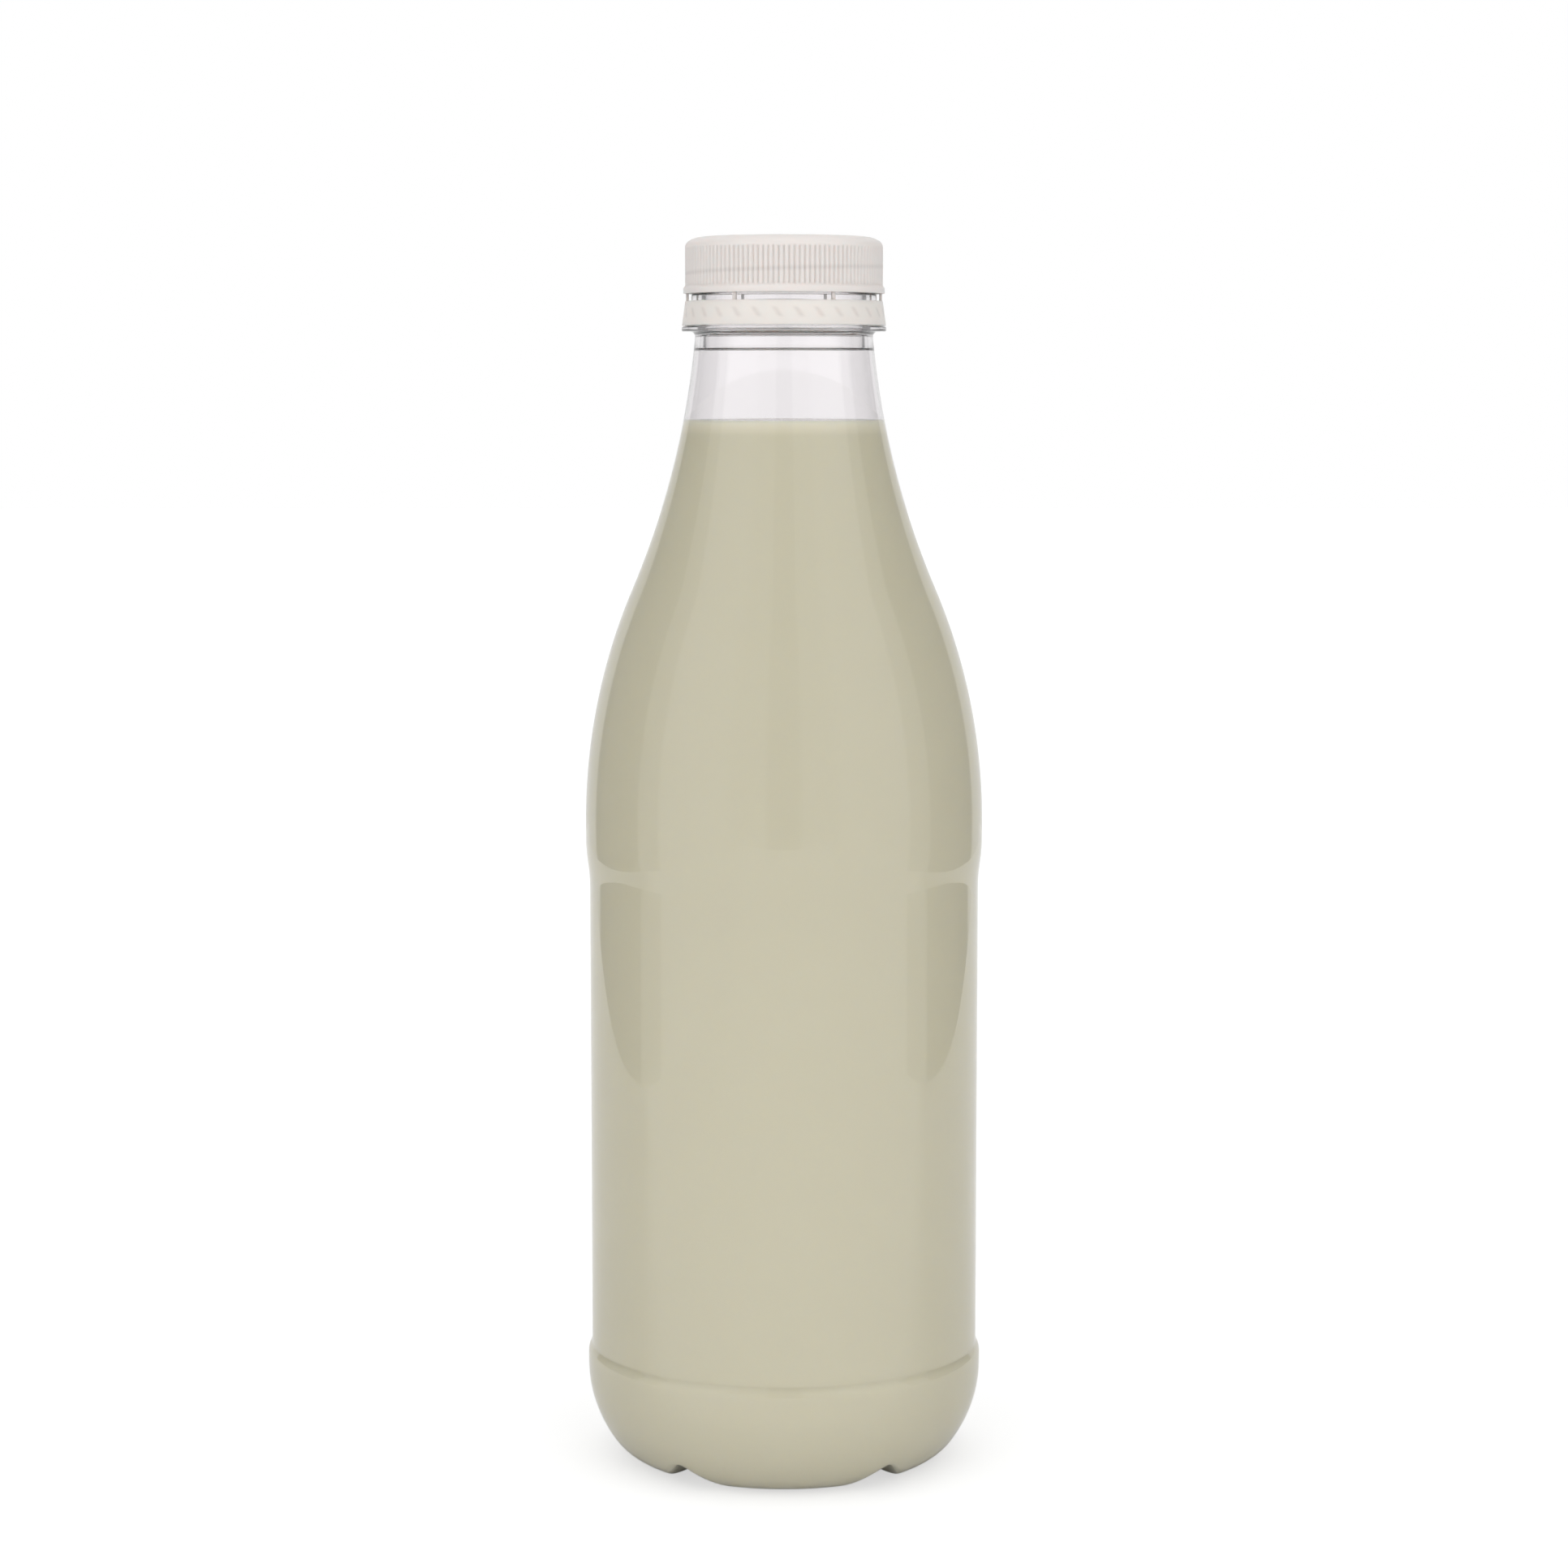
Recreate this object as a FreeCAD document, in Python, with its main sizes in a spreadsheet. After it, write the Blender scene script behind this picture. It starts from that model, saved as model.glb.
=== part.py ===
import FreeCAD, Part
import os
from math import sqrt

import Sketcher

# A one-litre milk bottle as it is sold: a blown PET bottle standing on five feet, the milk in it,
# and a ribbed screw closure whose tamper band hangs from it on thin bridges.
#
# Millimetres, +Z up. The origin is in the middle of the base, on the plane the feet stand on.
# The front is -Y, where one of the feet points; the grooves between the feet start at +Y.

SIZES = [
    # name, millimetres (or degrees, or a count), what it is
    ("body_radius", 42.2, "widest radius, at the heel and at the bulge above the panel"),
    ("wall", 0.45, "wall of the blown bottle"),
    # base and heel
    ("foot_inset", 14.2, "from the widest radius in to the circle the feet stand on"),
    ("foot_land", 1.6, "width of the flat that each foot stands on"),
    ("foot_curve", 11.2, "radius of the heel's lower curve, where it meets the feet"),
    ("foot_inner_curve", 2.5, "radius where the feet turn up into the dome"),
    ("dome_height", 8.5, "height of the pushed-up middle of the base"),
    ("groove_count", 5, "grooves across the base, one between each two feet"),
    ("groove_height", 5.0, "height of a groove's ridge above the feet"),
    ("groove_round", 2.0, "radius along a groove's ridge"),
    ("groove_slope", 38.0, "angle of a groove's sides, degrees from flat"),
    ("groove_lip", 1.6, "radius where a groove's sides meet the feet"),
    ("heel_height", 20.5, "height where the heel is widest"),
    ("heel_band", 2.1, "upright band above that"),
    ("heel_step", 2.6, "height of the step in from the heel to the panel"),
    ("heel_turn", 1.8, "height in that step where it turns hollow"),
    # side
    ("panel_inset", 0.8, "how far the label panel lies in from the widest radius"),
    ("panel_height", 98.3, "height of the label panel"),
    ("bulge_step", 10.5, "height of the step out from the panel to the bulge"),
    ("bulge_turn", 5.2, "height in that step where it turns full"),
    ("bulge_band", 3.6, "upright band of the bulge"),
    ("shoulder_height", 103.3, "from the bulge up to the underside of the transfer ring"),
    ("shoulder_turn", 49.3, "height above the bulge where the shoulder turns hollow"),
    # neck
    ("finish_radius", 17.8, "outside of the neck above the transfer ring"),
    ("finish_wall", 1.3, "wall of the neck, which isn't blown"),
    ("finish_height", 18.1, "from the underside of the transfer ring to the rim"),
    ("rim_bevel", 0.6, "bevel on the outside of the rim"),
    ("neck_flare", 0.2, "how much wider than the finish the shoulder's hollow curve ends"),
    ("neck_run", 14.5, "how far above the ring's underside that curve would stand upright"),
    ("blend_top", 2.3, "from the ring's underside down to where the thick wall ends"),
    ("blend_height", 3.4, "height over which the thick wall thins to the blown wall"),
    ("ring_reach", 3.7, "how far the transfer ring stands out of the neck"),
    ("ring_thickness", 1.0, "thickness of the transfer ring"),
    ("ring_edge", 0.3, "radius of the transfer ring's edges"),
    ("ring_fillet", 1.1, "radius under the transfer ring"),
    ("bead_reach", 1.7, "how far the tamper bead stands out of the neck"),
    ("bead_gap", 4.7, "from the top of the transfer ring to the underside of the bead"),
    ("bead_height", 2.1, "height of the tamper bead"),
    ("bead_bevel", 0.5, "bevel on the bead's upper edge, which the band slips over"),
    # milk
    ("headspace", 18.4, "from the ring's underside down to the milk"),
    # closure
    ("disc_thickness", 1.5, "top plate of the closure"),
    ("crown_reach", 3.5, "how far in from the ribs the closure's flat top ends"),
    ("crown_height", 2.2, "height over which the closure's top rounds down to its side"),
    ("corner_curve", 1.7, "radius where that rounding meets the side"),
    ("thread_room", 1.35, "from the neck out to the skirt's inside"),
    ("skirt_wall", 1.25, "wall of the skirt between its ribs"),
    ("rib_depth", 0.35, "how far the ribs stand out of the skirt"),
    ("rib_count", 120, "ribs round the skirt"),
    ("rib_root", 0.16, "width of a groove between ribs at its bottom"),
    ("rib_mouth", 0.62, "width of a groove between ribs at the ribs' crests"),
    ("rim_reach", 0.4, "how far the skirt's lower rim stands out of the ribs"),
    ("rim_height", 1.1, "height of the skirt's lower rim"),
    ("rim_slope", 0.5, "height of the slope from the rim up to the ribs"),
    ("plug_gap", 0.1, "clearance of the sealing plug in the neck"),
    ("plug_wall", 0.8, "wall of the sealing plug"),
    ("plug_depth", 2.5, "how deep the sealing plug reaches into the neck"),
    ("band_gap", 0.2, "clearance between the tamper band and the transfer ring"),
    ("band_height", 5.1, "height of the tamper band"),
    ("band_wall", 0.9, "wall of the tamper band"),
    ("band_flare", 0.7, "how much wider the band is at its foot than at its top"),
    ("slit", 1.6, "height of the slit between the band and the skirt"),
    ("bridge_count", 6, "bridges that hold the band to the skirt"),
    ("bridge_width", 0.8, "width of a bridge"),
    ("bridge_wall", 0.6, "thickness of a bridge"),
    ("flap_count", 30, "flaps inside the band that catch under the bead"),
    ("flap_width", 2.8, "width of a flap"),
    ("flap_wall", 0.45, "thickness of a flap"),
    ("flap_start", 1.3, "height above the band's foot where a flap leaves its wall"),
    ("flap_reach", 1.25, "how far a flap's tip stands in from the band's inside"),
    ("flap_lean", 1.8, "how far round the tip lies from the flap's root"),
    ("flap_gap", 0.5, "clearance between a flap's tip and the bead"),
    # making
    ("overlap", 0.3, "how far joined features run into each other"),
    ("overrun", 2.0, "how far cutting features run past what they cut"),
]

# Heights and radii that several features share, each as an expression on the sizes.
FOOT_RADIUS = "(sizes.body_radius - sizes.foot_inset)"
LAND_RADIUS = f"({FOOT_RADIUS} - sizes.foot_land)"
PANEL_RADIUS = "(sizes.body_radius - sizes.panel_inset)"
HEEL_TOP = "(sizes.heel_height + sizes.heel_band)"
PANEL_BOTTOM = f"({HEEL_TOP} + sizes.heel_step)"
PANEL_TOP = f"({PANEL_BOTTOM} + sizes.panel_height)"
BULGE_BOTTOM = f"({PANEL_TOP} + sizes.bulge_step)"
BULGE_TOP = f"({BULGE_BOTTOM} + sizes.bulge_band)"
RING_BOTTOM = f"({BULGE_TOP} + sizes.shoulder_height)"
RING_TOP = f"({RING_BOTTOM} + sizes.ring_thickness)"
RING_RADIUS = "(sizes.finish_radius + sizes.ring_reach)"
NECK_RADIUS = "(sizes.finish_radius + sizes.neck_flare)"
BORE_RADIUS = "(sizes.finish_radius - sizes.finish_wall)"
BEAD_RADIUS = "(sizes.finish_radius + sizes.bead_reach)"
BEAD_BOTTOM = f"({RING_TOP} + sizes.bead_gap)"
BEAD_TOP = f"({BEAD_BOTTOM} + sizes.bead_height)"
NECK_TOP = f"({RING_BOTTOM} + sizes.finish_height)"
MILK_LEVEL = f"({RING_BOTTOM} - sizes.headspace)"
SKIRT_INSIDE = "(sizes.finish_radius + sizes.thread_room)"
RIB_ROOT_RADIUS = f"({SKIRT_INSIDE} + sizes.skirt_wall)"
RIB_RADIUS = f"({RIB_ROOT_RADIUS} + sizes.rib_depth)"
RIM_RADIUS = f"({RIB_RADIUS} + sizes.rim_reach)"
CAP_TOP = f"({NECK_TOP} + sizes.disc_thickness)"
CROWN_BOTTOM = f"({CAP_TOP} - sizes.crown_height)"
BAND_BOTTOM = f"({RING_TOP} + sizes.band_gap)"
BAND_TOP = f"({BAND_BOTTOM} + sizes.band_height)"
SKIRT_BOTTOM = f"({BAND_TOP} + sizes.slit)"
RIB_BOTTOM = f"({SKIRT_BOTTOM} + sizes.rim_height + sizes.rim_slope)"
BAND_INSIDE = f"({RIB_RADIUS} - sizes.band_wall)"

# The sketcher's own numbers for a curve's two ends, the sketch's axes and its origin.
START, END = 1, 2
H_AXIS, V_AXIS = -1, -2
SKETCH_ORIGIN = (-1, 1)
LEFT, RIGHT = 1, -1

doc = FreeCAD.newDocument("MilkBottle")


def fill_sheet():
    """Put every driving size in the spreadsheet, one row each, under its own alias."""
    sheet = doc.addObject("Spreadsheet::Sheet", "sizes")
    for row, (alias, size, meaning) in enumerate(SIZES, start=1):
        sheet.set(f"A{row}", meaning)
        sheet.set(f"B{row}", str(size))
        sheet.setAlias(f"B{row}", alias)
    doc.recompute()
    return sheet


sheet = fill_sheet()


def number(text):
    """What an expression on the sizes comes to."""
    return float(sheet.evalExpression(text))


def place(across, up):
    """The point in a sketch that two expressions give."""
    return FreeCAD.Vector(number(across), number(up), 0)


class Outline:
    """A closed sketch outline, drawn end to end, whose corners and radii follow expressions."""

    def __init__(self, sketch, across, up):
        self.sketch = sketch
        self.start = self.corner = (across, up)
        self.first = self.last = None

    def constrain(self, kind, *places, text=None):
        """Add a constraint, and tie its value to the expression if there is one."""
        value = () if text is None else (number(text),)
        index = self.sketch.addConstraint(Sketcher.Constraint(kind, *places, *value))
        if text is not None:
            self.sketch.setExpression(f"Constraints[{index}]", text)

    def pin(self, end, across, up):
        """Tie one end of a curve to its distances from the sketch's two axes."""
        for kind, axis, text in (("DistanceX", V_AXIS, across), ("DistanceY", H_AXIS, up)):
            if text == "0":
                self.constrain("PointOnObject", *end, axis)
            else:
                self.constrain(kind, *SKETCH_ORIGIN, *end, text=text)

    def add(self, curve, near_end, far_end, corner):
        """Add a curve from the corner the outline has reached to the next one."""
        index = self.sketch.addGeometry(curve, False)
        if self.last is None:
            self.first = (index, near_end)
            self.pin(self.first, *self.start)
        else:
            self.constrain("Coincident", *self.last, index, near_end)
        self.last = (index, far_end)
        if corner == self.start:
            self.constrain("Coincident", *self.last, *self.first)
        else:
            self.pin(self.last, *corner)
        self.corner = corner
        return index

    def line(self, across, up):
        here, there = place(*self.corner), place(across, up)
        self.add(Part.LineSegment(here, there), START, END, (across, up))

    def arc(self, across, up, radius, turn):
        """An arc of under half a turn, which bends LEFT or RIGHT as it is drawn."""
        here, there = place(*self.corner), place(across, up)
        chord = there - here
        reach = sqrt(number(radius) ** 2 - chord.Length ** 2 / 4)
        aside = FreeCAD.Vector(-chord.y, chord.x, 0).normalize() * reach * turn
        circle = Part.Circle((here + there) / 2 + aside, FreeCAD.Vector(0, 0, 1), number(radius))
        ends = (here, there) if turn == LEFT else (there, here)
        curve = Part.ArcOfCircle(circle, *(circle.parameter(end) for end in ends))
        near_end, far_end = (START, END) if turn == LEFT else (END, START)
        index = self.add(curve, near_end, far_end, (across, up))
        self.constrain("Radius", index, text=radius)

    def step(self, across, up, height, turn):
        """Carry an upright wall in or out to another one by two tangent arcs."""
        bend = StepBend(self.corner, (across, up), height)
        self.arc(*bend.joint, bend.first_radius, turn)
        self.arc(across, up, bend.second_radius, -turn)


class StepBend:
    """Two tangent arcs between two upright walls, which meet at a height above the first.

    The joint of two such arcs always lies on the straight line between the walls' ends.
    """

    def __init__(self, low, high, height):
        across = f"({high[0]} - {low[0]})"
        rise = f"({high[1]} - {low[1]})"
        share = f"({height} / {rise})"
        both = f"(({across}^2 + {rise}^2) / (2 * abs({across})))"
        self.joint = (f"({low[0]} + {share} * {across})", f"({low[1]} + {height})")
        self.first_radius = f"({share} * {both})"
        self.second_radius = f"((1 - {share}) * {both})"


class CornerBend:
    """Two tangent arcs that turn a square corner, the first of a given radius.

    The corner reaches some way ahead, as the first arc sets out, and some way aside of that.
    From the second arc's centre the joint lies in the direction (ahead, aside), of length 1.
    """

    def __init__(self, ahead, aside, first_radius):
        self.second_radius = (f"((({ahead})^2 + ({aside} - {first_radius})^2 - {first_radius}^2)"
                              f" / (2 * ({ahead} - {first_radius})))")
        apart = f"({self.second_radius} - {first_radius})"
        self.ahead = f"(({self.second_radius} - {ahead}) / {apart})"
        self.aside = f"(({aside} - {first_radius}) / {apart})"


def origin_feature(body, role):
    """One of a body's own origin planes or axes."""
    return next(item for item in body.Origin.OriginFeatures if item.Role == role)


def add_sketch(body, name, plane, height=None):
    """A sketch on one of the body's origin planes, lifted off it by an expression."""
    sketch = body.newObject("Sketcher::SketchObject", name)
    sketch.AttachmentSupport = (origin_feature(body, plane), [""])
    sketch.MapMode = "FlatFace"
    if height is not None:
        sketch.setExpression("AttachmentOffset.Base.z", height)
    return sketch


def revolve(body, sketch, name):
    """Turn a sketch once round its upright axis."""
    feature = body.newObject("PartDesign::Revolution", name)
    feature.Profile = sketch
    feature.ReferenceAxis = (sketch, ["V_Axis"])
    feature.Angle = 360
    sketch.Visibility = False
    doc.recompute()
    return feature


def repeat(body, feature, name, count):
    """Copy a feature evenly round the upright axis, as many times as the expression says."""
    pattern = body.newObject("PartDesign::PolarPattern", name)
    pattern.Originals = [feature]
    pattern.Axis = (origin_feature(body, "Z_Axis"), [""])
    pattern.Angle = 360
    pattern.setExpression("Occurrences", count)
    body.Tip = pattern
    doc.recompute()
    return pattern


# ---- bottle and milk -------------------------------------------------------------------------

def draw_blown_shape(sketch, inset):
    """The blown part of the bottle, from the dome up to where the shoulder turns hollow.

    The inset is 0 for the outside and the wall for the inside.
    """
    dome = "sizes.dome_height"
    curl = "sizes.foot_inner_curve"
    dome_radius = f"(({LAND_RADIUS}^2 + {dome}^2 - 2 * {curl} * {dome}) / (2 * {dome}))"
    dome_end = (f"({LAND_RADIUS} * ({dome_radius} + {inset}) / ({dome_radius} + {curl}))",
                f"({inset} + ({curl} - {inset}) * {dome} / ({dome_radius} + {curl}))")
    outline = Outline(sketch, "0", f"({dome} + {inset})")
    outline.arc(*dome_end, f"({dome_radius} + {inset})", RIGHT)
    outline.arc(LAND_RADIUS, inset, f"({curl} - {inset})", LEFT)
    outline.line(FOOT_RADIUS, inset)

    height = "sizes.heel_height"
    heel = CornerBend("sizes.foot_inset", height, "sizes.foot_curve")
    side = f"({heel.second_radius} - {inset})"
    joint = (f"(sizes.body_radius - {heel.second_radius} + {side} * {heel.ahead})",
             f"({height} - {side} * {heel.aside})")
    widest = f"(sizes.body_radius - {inset})"
    panel = f"({PANEL_RADIUS} - {inset})"
    outline.arc(*joint, f"(sizes.foot_curve - {inset})", LEFT)
    outline.arc(widest, height, side, LEFT)
    outline.line(widest, HEEL_TOP)
    outline.step(panel, PANEL_BOTTOM, "sizes.heel_turn", LEFT)
    outline.line(panel, PANEL_TOP)
    outline.step(widest, BULGE_BOTTOM, "sizes.bulge_turn", RIGHT)
    outline.line(widest, BULGE_TOP)

    upright = (f"({NECK_RADIUS} - {inset})", f"({RING_BOTTOM} + sizes.neck_run)")
    shoulder = StepBend((widest, BULGE_TOP), upright, "sizes.shoulder_turn")
    outline.arc(*shoulder.joint, shoulder.first_radius, LEFT)
    return outline, shoulder


def draw_hollow_curve(outline, shoulder, inset, depth):
    """The shoulder's hollow curve, up to a depth below the transfer ring's underside."""
    radius = shoulder.second_radius
    across = (f"({NECK_RADIUS} - {inset} + {radius}"
              f" - sqrt({radius}^2 - (sizes.neck_run + {depth})^2))")
    outline.arc(across, f"({RING_BOTTOM} - {depth})", radius, RIGHT)
    return across


def draw_outside(sketch):
    """The bottle's outside, filled right through to the axis."""
    outline, shoulder = draw_blown_shape(sketch, "0")
    neck = draw_hollow_curve(outline, shoulder, "0", "sizes.ring_fillet")
    edge = "sizes.ring_edge"
    outline.arc(f"({neck} + sizes.ring_fillet)", RING_BOTTOM, "sizes.ring_fillet", RIGHT)
    outline.line(f"({RING_RADIUS} - {edge})", RING_BOTTOM)
    outline.arc(RING_RADIUS, f"({RING_BOTTOM} + {edge})", edge, LEFT)
    outline.line(RING_RADIUS, f"({RING_TOP} - {edge})")
    outline.arc(f"({RING_RADIUS} - {edge})", RING_TOP, edge, LEFT)
    outline.line("sizes.finish_radius", RING_TOP)
    outline.line("sizes.finish_radius", BEAD_BOTTOM)
    outline.line(BEAD_RADIUS, BEAD_BOTTOM)
    outline.line(BEAD_RADIUS, f"({BEAD_TOP} - sizes.bead_bevel)")
    outline.line(f"({BEAD_RADIUS} - sizes.bead_bevel)", BEAD_TOP)
    outline.line("sizes.finish_radius", BEAD_TOP)
    outline.line("sizes.finish_radius", f"({NECK_TOP} - sizes.rim_bevel)")
    outline.line("(sizes.finish_radius - sizes.rim_bevel)", NECK_TOP)
    outline.line("0", NECK_TOP)
    outline.line(*outline.start)


def draw_inside(sketch):
    """The bottle's inside, which opens through the rim."""
    outline, shoulder = draw_blown_shape(sketch, "sizes.wall")
    thin = "(sizes.blend_top + sizes.blend_height)"
    draw_hollow_curve(outline, shoulder, "sizes.wall", thin)
    thick = f"({RING_BOTTOM} - sizes.blend_top)"
    outline.step(BORE_RADIUS, thick, "sizes.blend_height / 2", LEFT)
    above = f"({NECK_TOP} + sizes.overrun)"
    outline.line(BORE_RADIUS, above)
    outline.line("0", above)
    outline.line(*outline.start)


def cut_grooves(body, inset):
    """The grooves across the base: rounded ridges whose sides fall to the feet."""
    ridge = f"(sizes.groove_round + {inset})"
    slope = "sizes.groove_slope"
    top = f"(sizes.groove_height - sizes.groove_round + {ridge} * cos({slope}))"
    half_top = f"{ridge} * sin({slope})"
    half_foot = f"({half_top} + ({top} + sizes.overrun) / tan({slope}))"
    sketch = add_sketch(body, "GrooveSection", "XZ_Plane")
    outline = Outline(sketch, f"-{half_foot}", "-sizes.overrun")
    outline.line(f"-{half_top}", top)
    outline.arc(half_top, top, ridge, RIGHT)
    outline.line(half_foot, "-sizes.overrun")
    outline.line(*outline.start)
    groove = body.newObject("PartDesign::Pocket", "Groove")
    groove.Profile = sketch
    groove.Type = "ThroughAll"
    sketch.Visibility = False
    doc.recompute()
    return repeat(body, groove, "Grooves", "sizes.groove_count")


def is_groove_face(face):
    """Whether a face is a groove's side or ridge, and not part of the turned shape."""
    surface = face.Surface
    if isinstance(surface, Part.Plane):
        return abs(surface.Axis.z) < 0.99
    return isinstance(surface, Part.Cylinder) and abs(surface.Axis.z) < 0.01


def round_groove_lips(body, grooves, inset):
    """Round every edge along which a groove meets the feet, the heel or the dome."""
    shape = grooves.Shape
    lips = []
    for index, edge in enumerate(shape.Edges, start=1):
        faces = shape.ancestorsOfType(edge, Part.Face)
        if [is_groove_face(face) for face in faces].count(True) == 1:
            lips.append(f"Edge{index}")
    fillet = body.newObject("PartDesign::Fillet", "GrooveLips")
    fillet.Base = (grooves, lips)
    fillet.setExpression("Radius", f"sizes.groove_lip - {inset}")
    doc.recompute()


def blown_body(name, draw, inset):
    """A solid of the bottle's outside or inside."""
    body = doc.addObject("PartDesign::Body", name)
    sketch = add_sketch(body, "Section", "XZ_Plane")
    draw(sketch)
    revolve(body, sketch, "Turned")
    grooves = cut_grooves(body, inset)
    round_groove_lips(body, grooves, inset)
    body.Visibility = False
    return body


def make_bottle_and_milk():
    """The bottle is its outside less its inside, and the milk fills the inside to its level."""
    outside = blown_body("Outside", draw_outside, "0")
    inside = blown_body("Inside", draw_inside, "sizes.wall")
    bottle = doc.addObject("Part::Cut", "Bottle")
    bottle.Base = outside
    bottle.Tool = inside
    bottle.Label = "bottle"

    below = doc.addObject("Part::Cylinder", "BelowTheLevel")
    below.setExpression("Radius", "sizes.body_radius")
    below.setExpression("Height", MILK_LEVEL)
    milk = doc.addObject("Part::MultiCommon", "Milk")
    milk.Shapes = [inside, below]
    milk.Label = "milk"
    doc.recompute()
    return [bottle, milk]


# ---- closure ---------------------------------------------------------------------------------

def turn_cap(body):
    """Top plate, skirt with its lower rim, and the plug that seals in the neck."""
    plug_outside = f"({BORE_RADIUS} - sizes.plug_gap)"
    plug_inside = f"({plug_outside} - sizes.plug_wall)"
    plug_bottom = f"({NECK_TOP} - sizes.plug_depth)"
    rim_top = f"({SKIRT_BOTTOM} + sizes.rim_height)"
    crown = CornerBend("sizes.crown_height", "sizes.crown_reach", "sizes.corner_curve")
    crown_edge = f"({RIB_RADIUS} - sizes.crown_reach)"
    joint = (f"({crown_edge} + {crown.second_radius} * {crown.aside})",
             f"({CAP_TOP} - {crown.second_radius} + {crown.second_radius} * {crown.ahead})")
    sketch = add_sketch(body, "CapSection", "XZ_Plane")
    outline = Outline(sketch, "0", CAP_TOP)
    outline.line("0", NECK_TOP)
    outline.line(plug_inside, NECK_TOP)
    outline.line(plug_inside, plug_bottom)
    outline.line(plug_outside, plug_bottom)
    outline.line(plug_outside, NECK_TOP)
    outline.line(SKIRT_INSIDE, NECK_TOP)
    outline.line(SKIRT_INSIDE, SKIRT_BOTTOM)
    outline.line(RIM_RADIUS, SKIRT_BOTTOM)
    outline.line(RIM_RADIUS, rim_top)
    outline.line(RIB_RADIUS, RIB_BOTTOM)
    outline.line(RIB_RADIUS, CROWN_BOTTOM)
    outline.arc(*joint, "sizes.corner_curve", LEFT)
    outline.arc(crown_edge, CAP_TOP, crown.second_radius, LEFT)
    outline.line(*outline.start)
    revolve(body, sketch, "Cap")


def cut_ribs(body):
    """Upright grooves round the skirt that leave the gripping ribs between them."""
    outside = f"({RIB_RADIUS} + sizes.overlap)"
    widening = "(sizes.rib_depth + sizes.overlap) / sizes.rib_depth"
    half_root = "(sizes.rib_root / 2)"
    half_mouth = f"({half_root} + (sizes.rib_mouth - sizes.rib_root) / 2 * {widening})"
    sketch = add_sketch(body, "RibGrooveSection", "XY_Plane", RIB_BOTTOM)
    outline = Outline(sketch, RIB_ROOT_RADIUS, f"-{half_root}")
    outline.line(outside, f"-{half_mouth}")
    outline.line(outside, half_mouth)
    outline.line(RIB_ROOT_RADIUS, half_root)
    outline.line(*outline.start)
    groove = body.newObject("PartDesign::Pocket", "RibGroove")
    groove.Profile = sketch
    groove.setExpression("Length", f"{CROWN_BOTTOM} - {RIB_BOTTOM}")
    groove.Reversed = True
    sketch.Visibility = False
    doc.recompute()
    repeat(body, groove, "Ribs", "sizes.rib_count")


def block(body, name, height, far, near, half_width, length):
    """A small block that stands on a height, reaches from one radius to another and is padded up."""
    sketch = add_sketch(body, f"{name}Section", "XY_Plane", height)
    outline = Outline(sketch, near, f"-{half_width}")
    outline.line(far, f"-{half_width}")
    outline.line(far, half_width)
    outline.line(near, half_width)
    outline.line(*outline.start)
    pad = body.newObject("PartDesign::Pad", name)
    pad.Profile = sketch
    pad.setExpression("Length", length)
    sketch.Visibility = False
    doc.recompute()
    return pad


def add_bridges(body):
    """Thin bridges across the slit, which tear when the closure is first opened."""
    inside = f"({BAND_INSIDE} + (sizes.band_wall - sizes.bridge_wall) / 2)"
    bridge = block(body, "Bridge", f"({BAND_TOP} - sizes.overlap)",
                   f"({inside} + sizes.bridge_wall)", inside,
                   "(sizes.bridge_width / 2)", "sizes.slit + 2 * sizes.overlap")
    repeat(body, bridge, "Bridges", "sizes.bridge_count")


def turn_band(body):
    """The tamper band, which widens to its foot."""
    foot_radius = f"({RIB_RADIUS} + sizes.band_flare)"
    sketch = add_sketch(body, "BandSection", "XZ_Plane")
    outline = Outline(sketch, BAND_INSIDE, BAND_TOP)
    outline.line(f"({foot_radius} - sizes.band_wall)", BAND_BOTTOM)
    outline.line(foot_radius, BAND_BOTTOM)
    outline.line(RIB_RADIUS, BAND_TOP)
    outline.line(*outline.start)
    revolve(body, sketch, "Band")


def draw_flap_end(body, name, height, inside, aside):
    """One end of a flap: a small oblong across the radius, set aside from it."""
    half_width = "sizes.flap_width / 2"
    sketch = add_sketch(body, name, "XY_Plane", height)
    outline = Outline(sketch, inside, f"({aside} - {half_width})")
    outline.line(f"({inside} + sizes.flap_wall)", f"({aside} - {half_width})")
    outline.line(f"({inside} + sizes.flap_wall)", f"({aside} + {half_width})")
    outline.line(inside, f"({aside} + {half_width})")
    outline.line(*outline.start)
    sketch.Visibility = False
    return sketch


def add_flaps(body):
    """Slanting flaps that rise inwards from the band's wall to catch under the bead."""
    wall = f"({BAND_INSIDE} + sizes.band_flare * (1 - sizes.flap_start / sizes.band_height))"
    root_inside = f"({wall} + sizes.overlap - sizes.flap_wall)"
    tip_inside = f"({BAND_INSIDE} - sizes.flap_reach)"
    root = draw_flap_end(body, "FlapRoot", f"({BAND_BOTTOM} + sizes.flap_start)",
                         root_inside, "0")
    tip = draw_flap_end(body, "FlapTip", f"({BEAD_BOTTOM} - sizes.flap_gap)",
                        tip_inside, "-sizes.flap_lean")
    flap = body.newObject("PartDesign::AdditiveLoft", "Flap")
    flap.Profile = root
    flap.Sections = [tip]
    flap.Ruled = True
    doc.recompute()
    repeat(body, flap, "Flaps", "sizes.flap_count")


def make_closure():
    """Cap, bridges, tamper band and flaps, moulded as one piece."""
    body = doc.addObject("PartDesign::Body", "Closure")
    body.Label = "closure"
    turn_cap(body)
    cut_ribs(body)
    add_bridges(body)
    turn_band(body)
    add_flaps(body)
    return body


# ---- checking and writing --------------------------------------------------------------------

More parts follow.
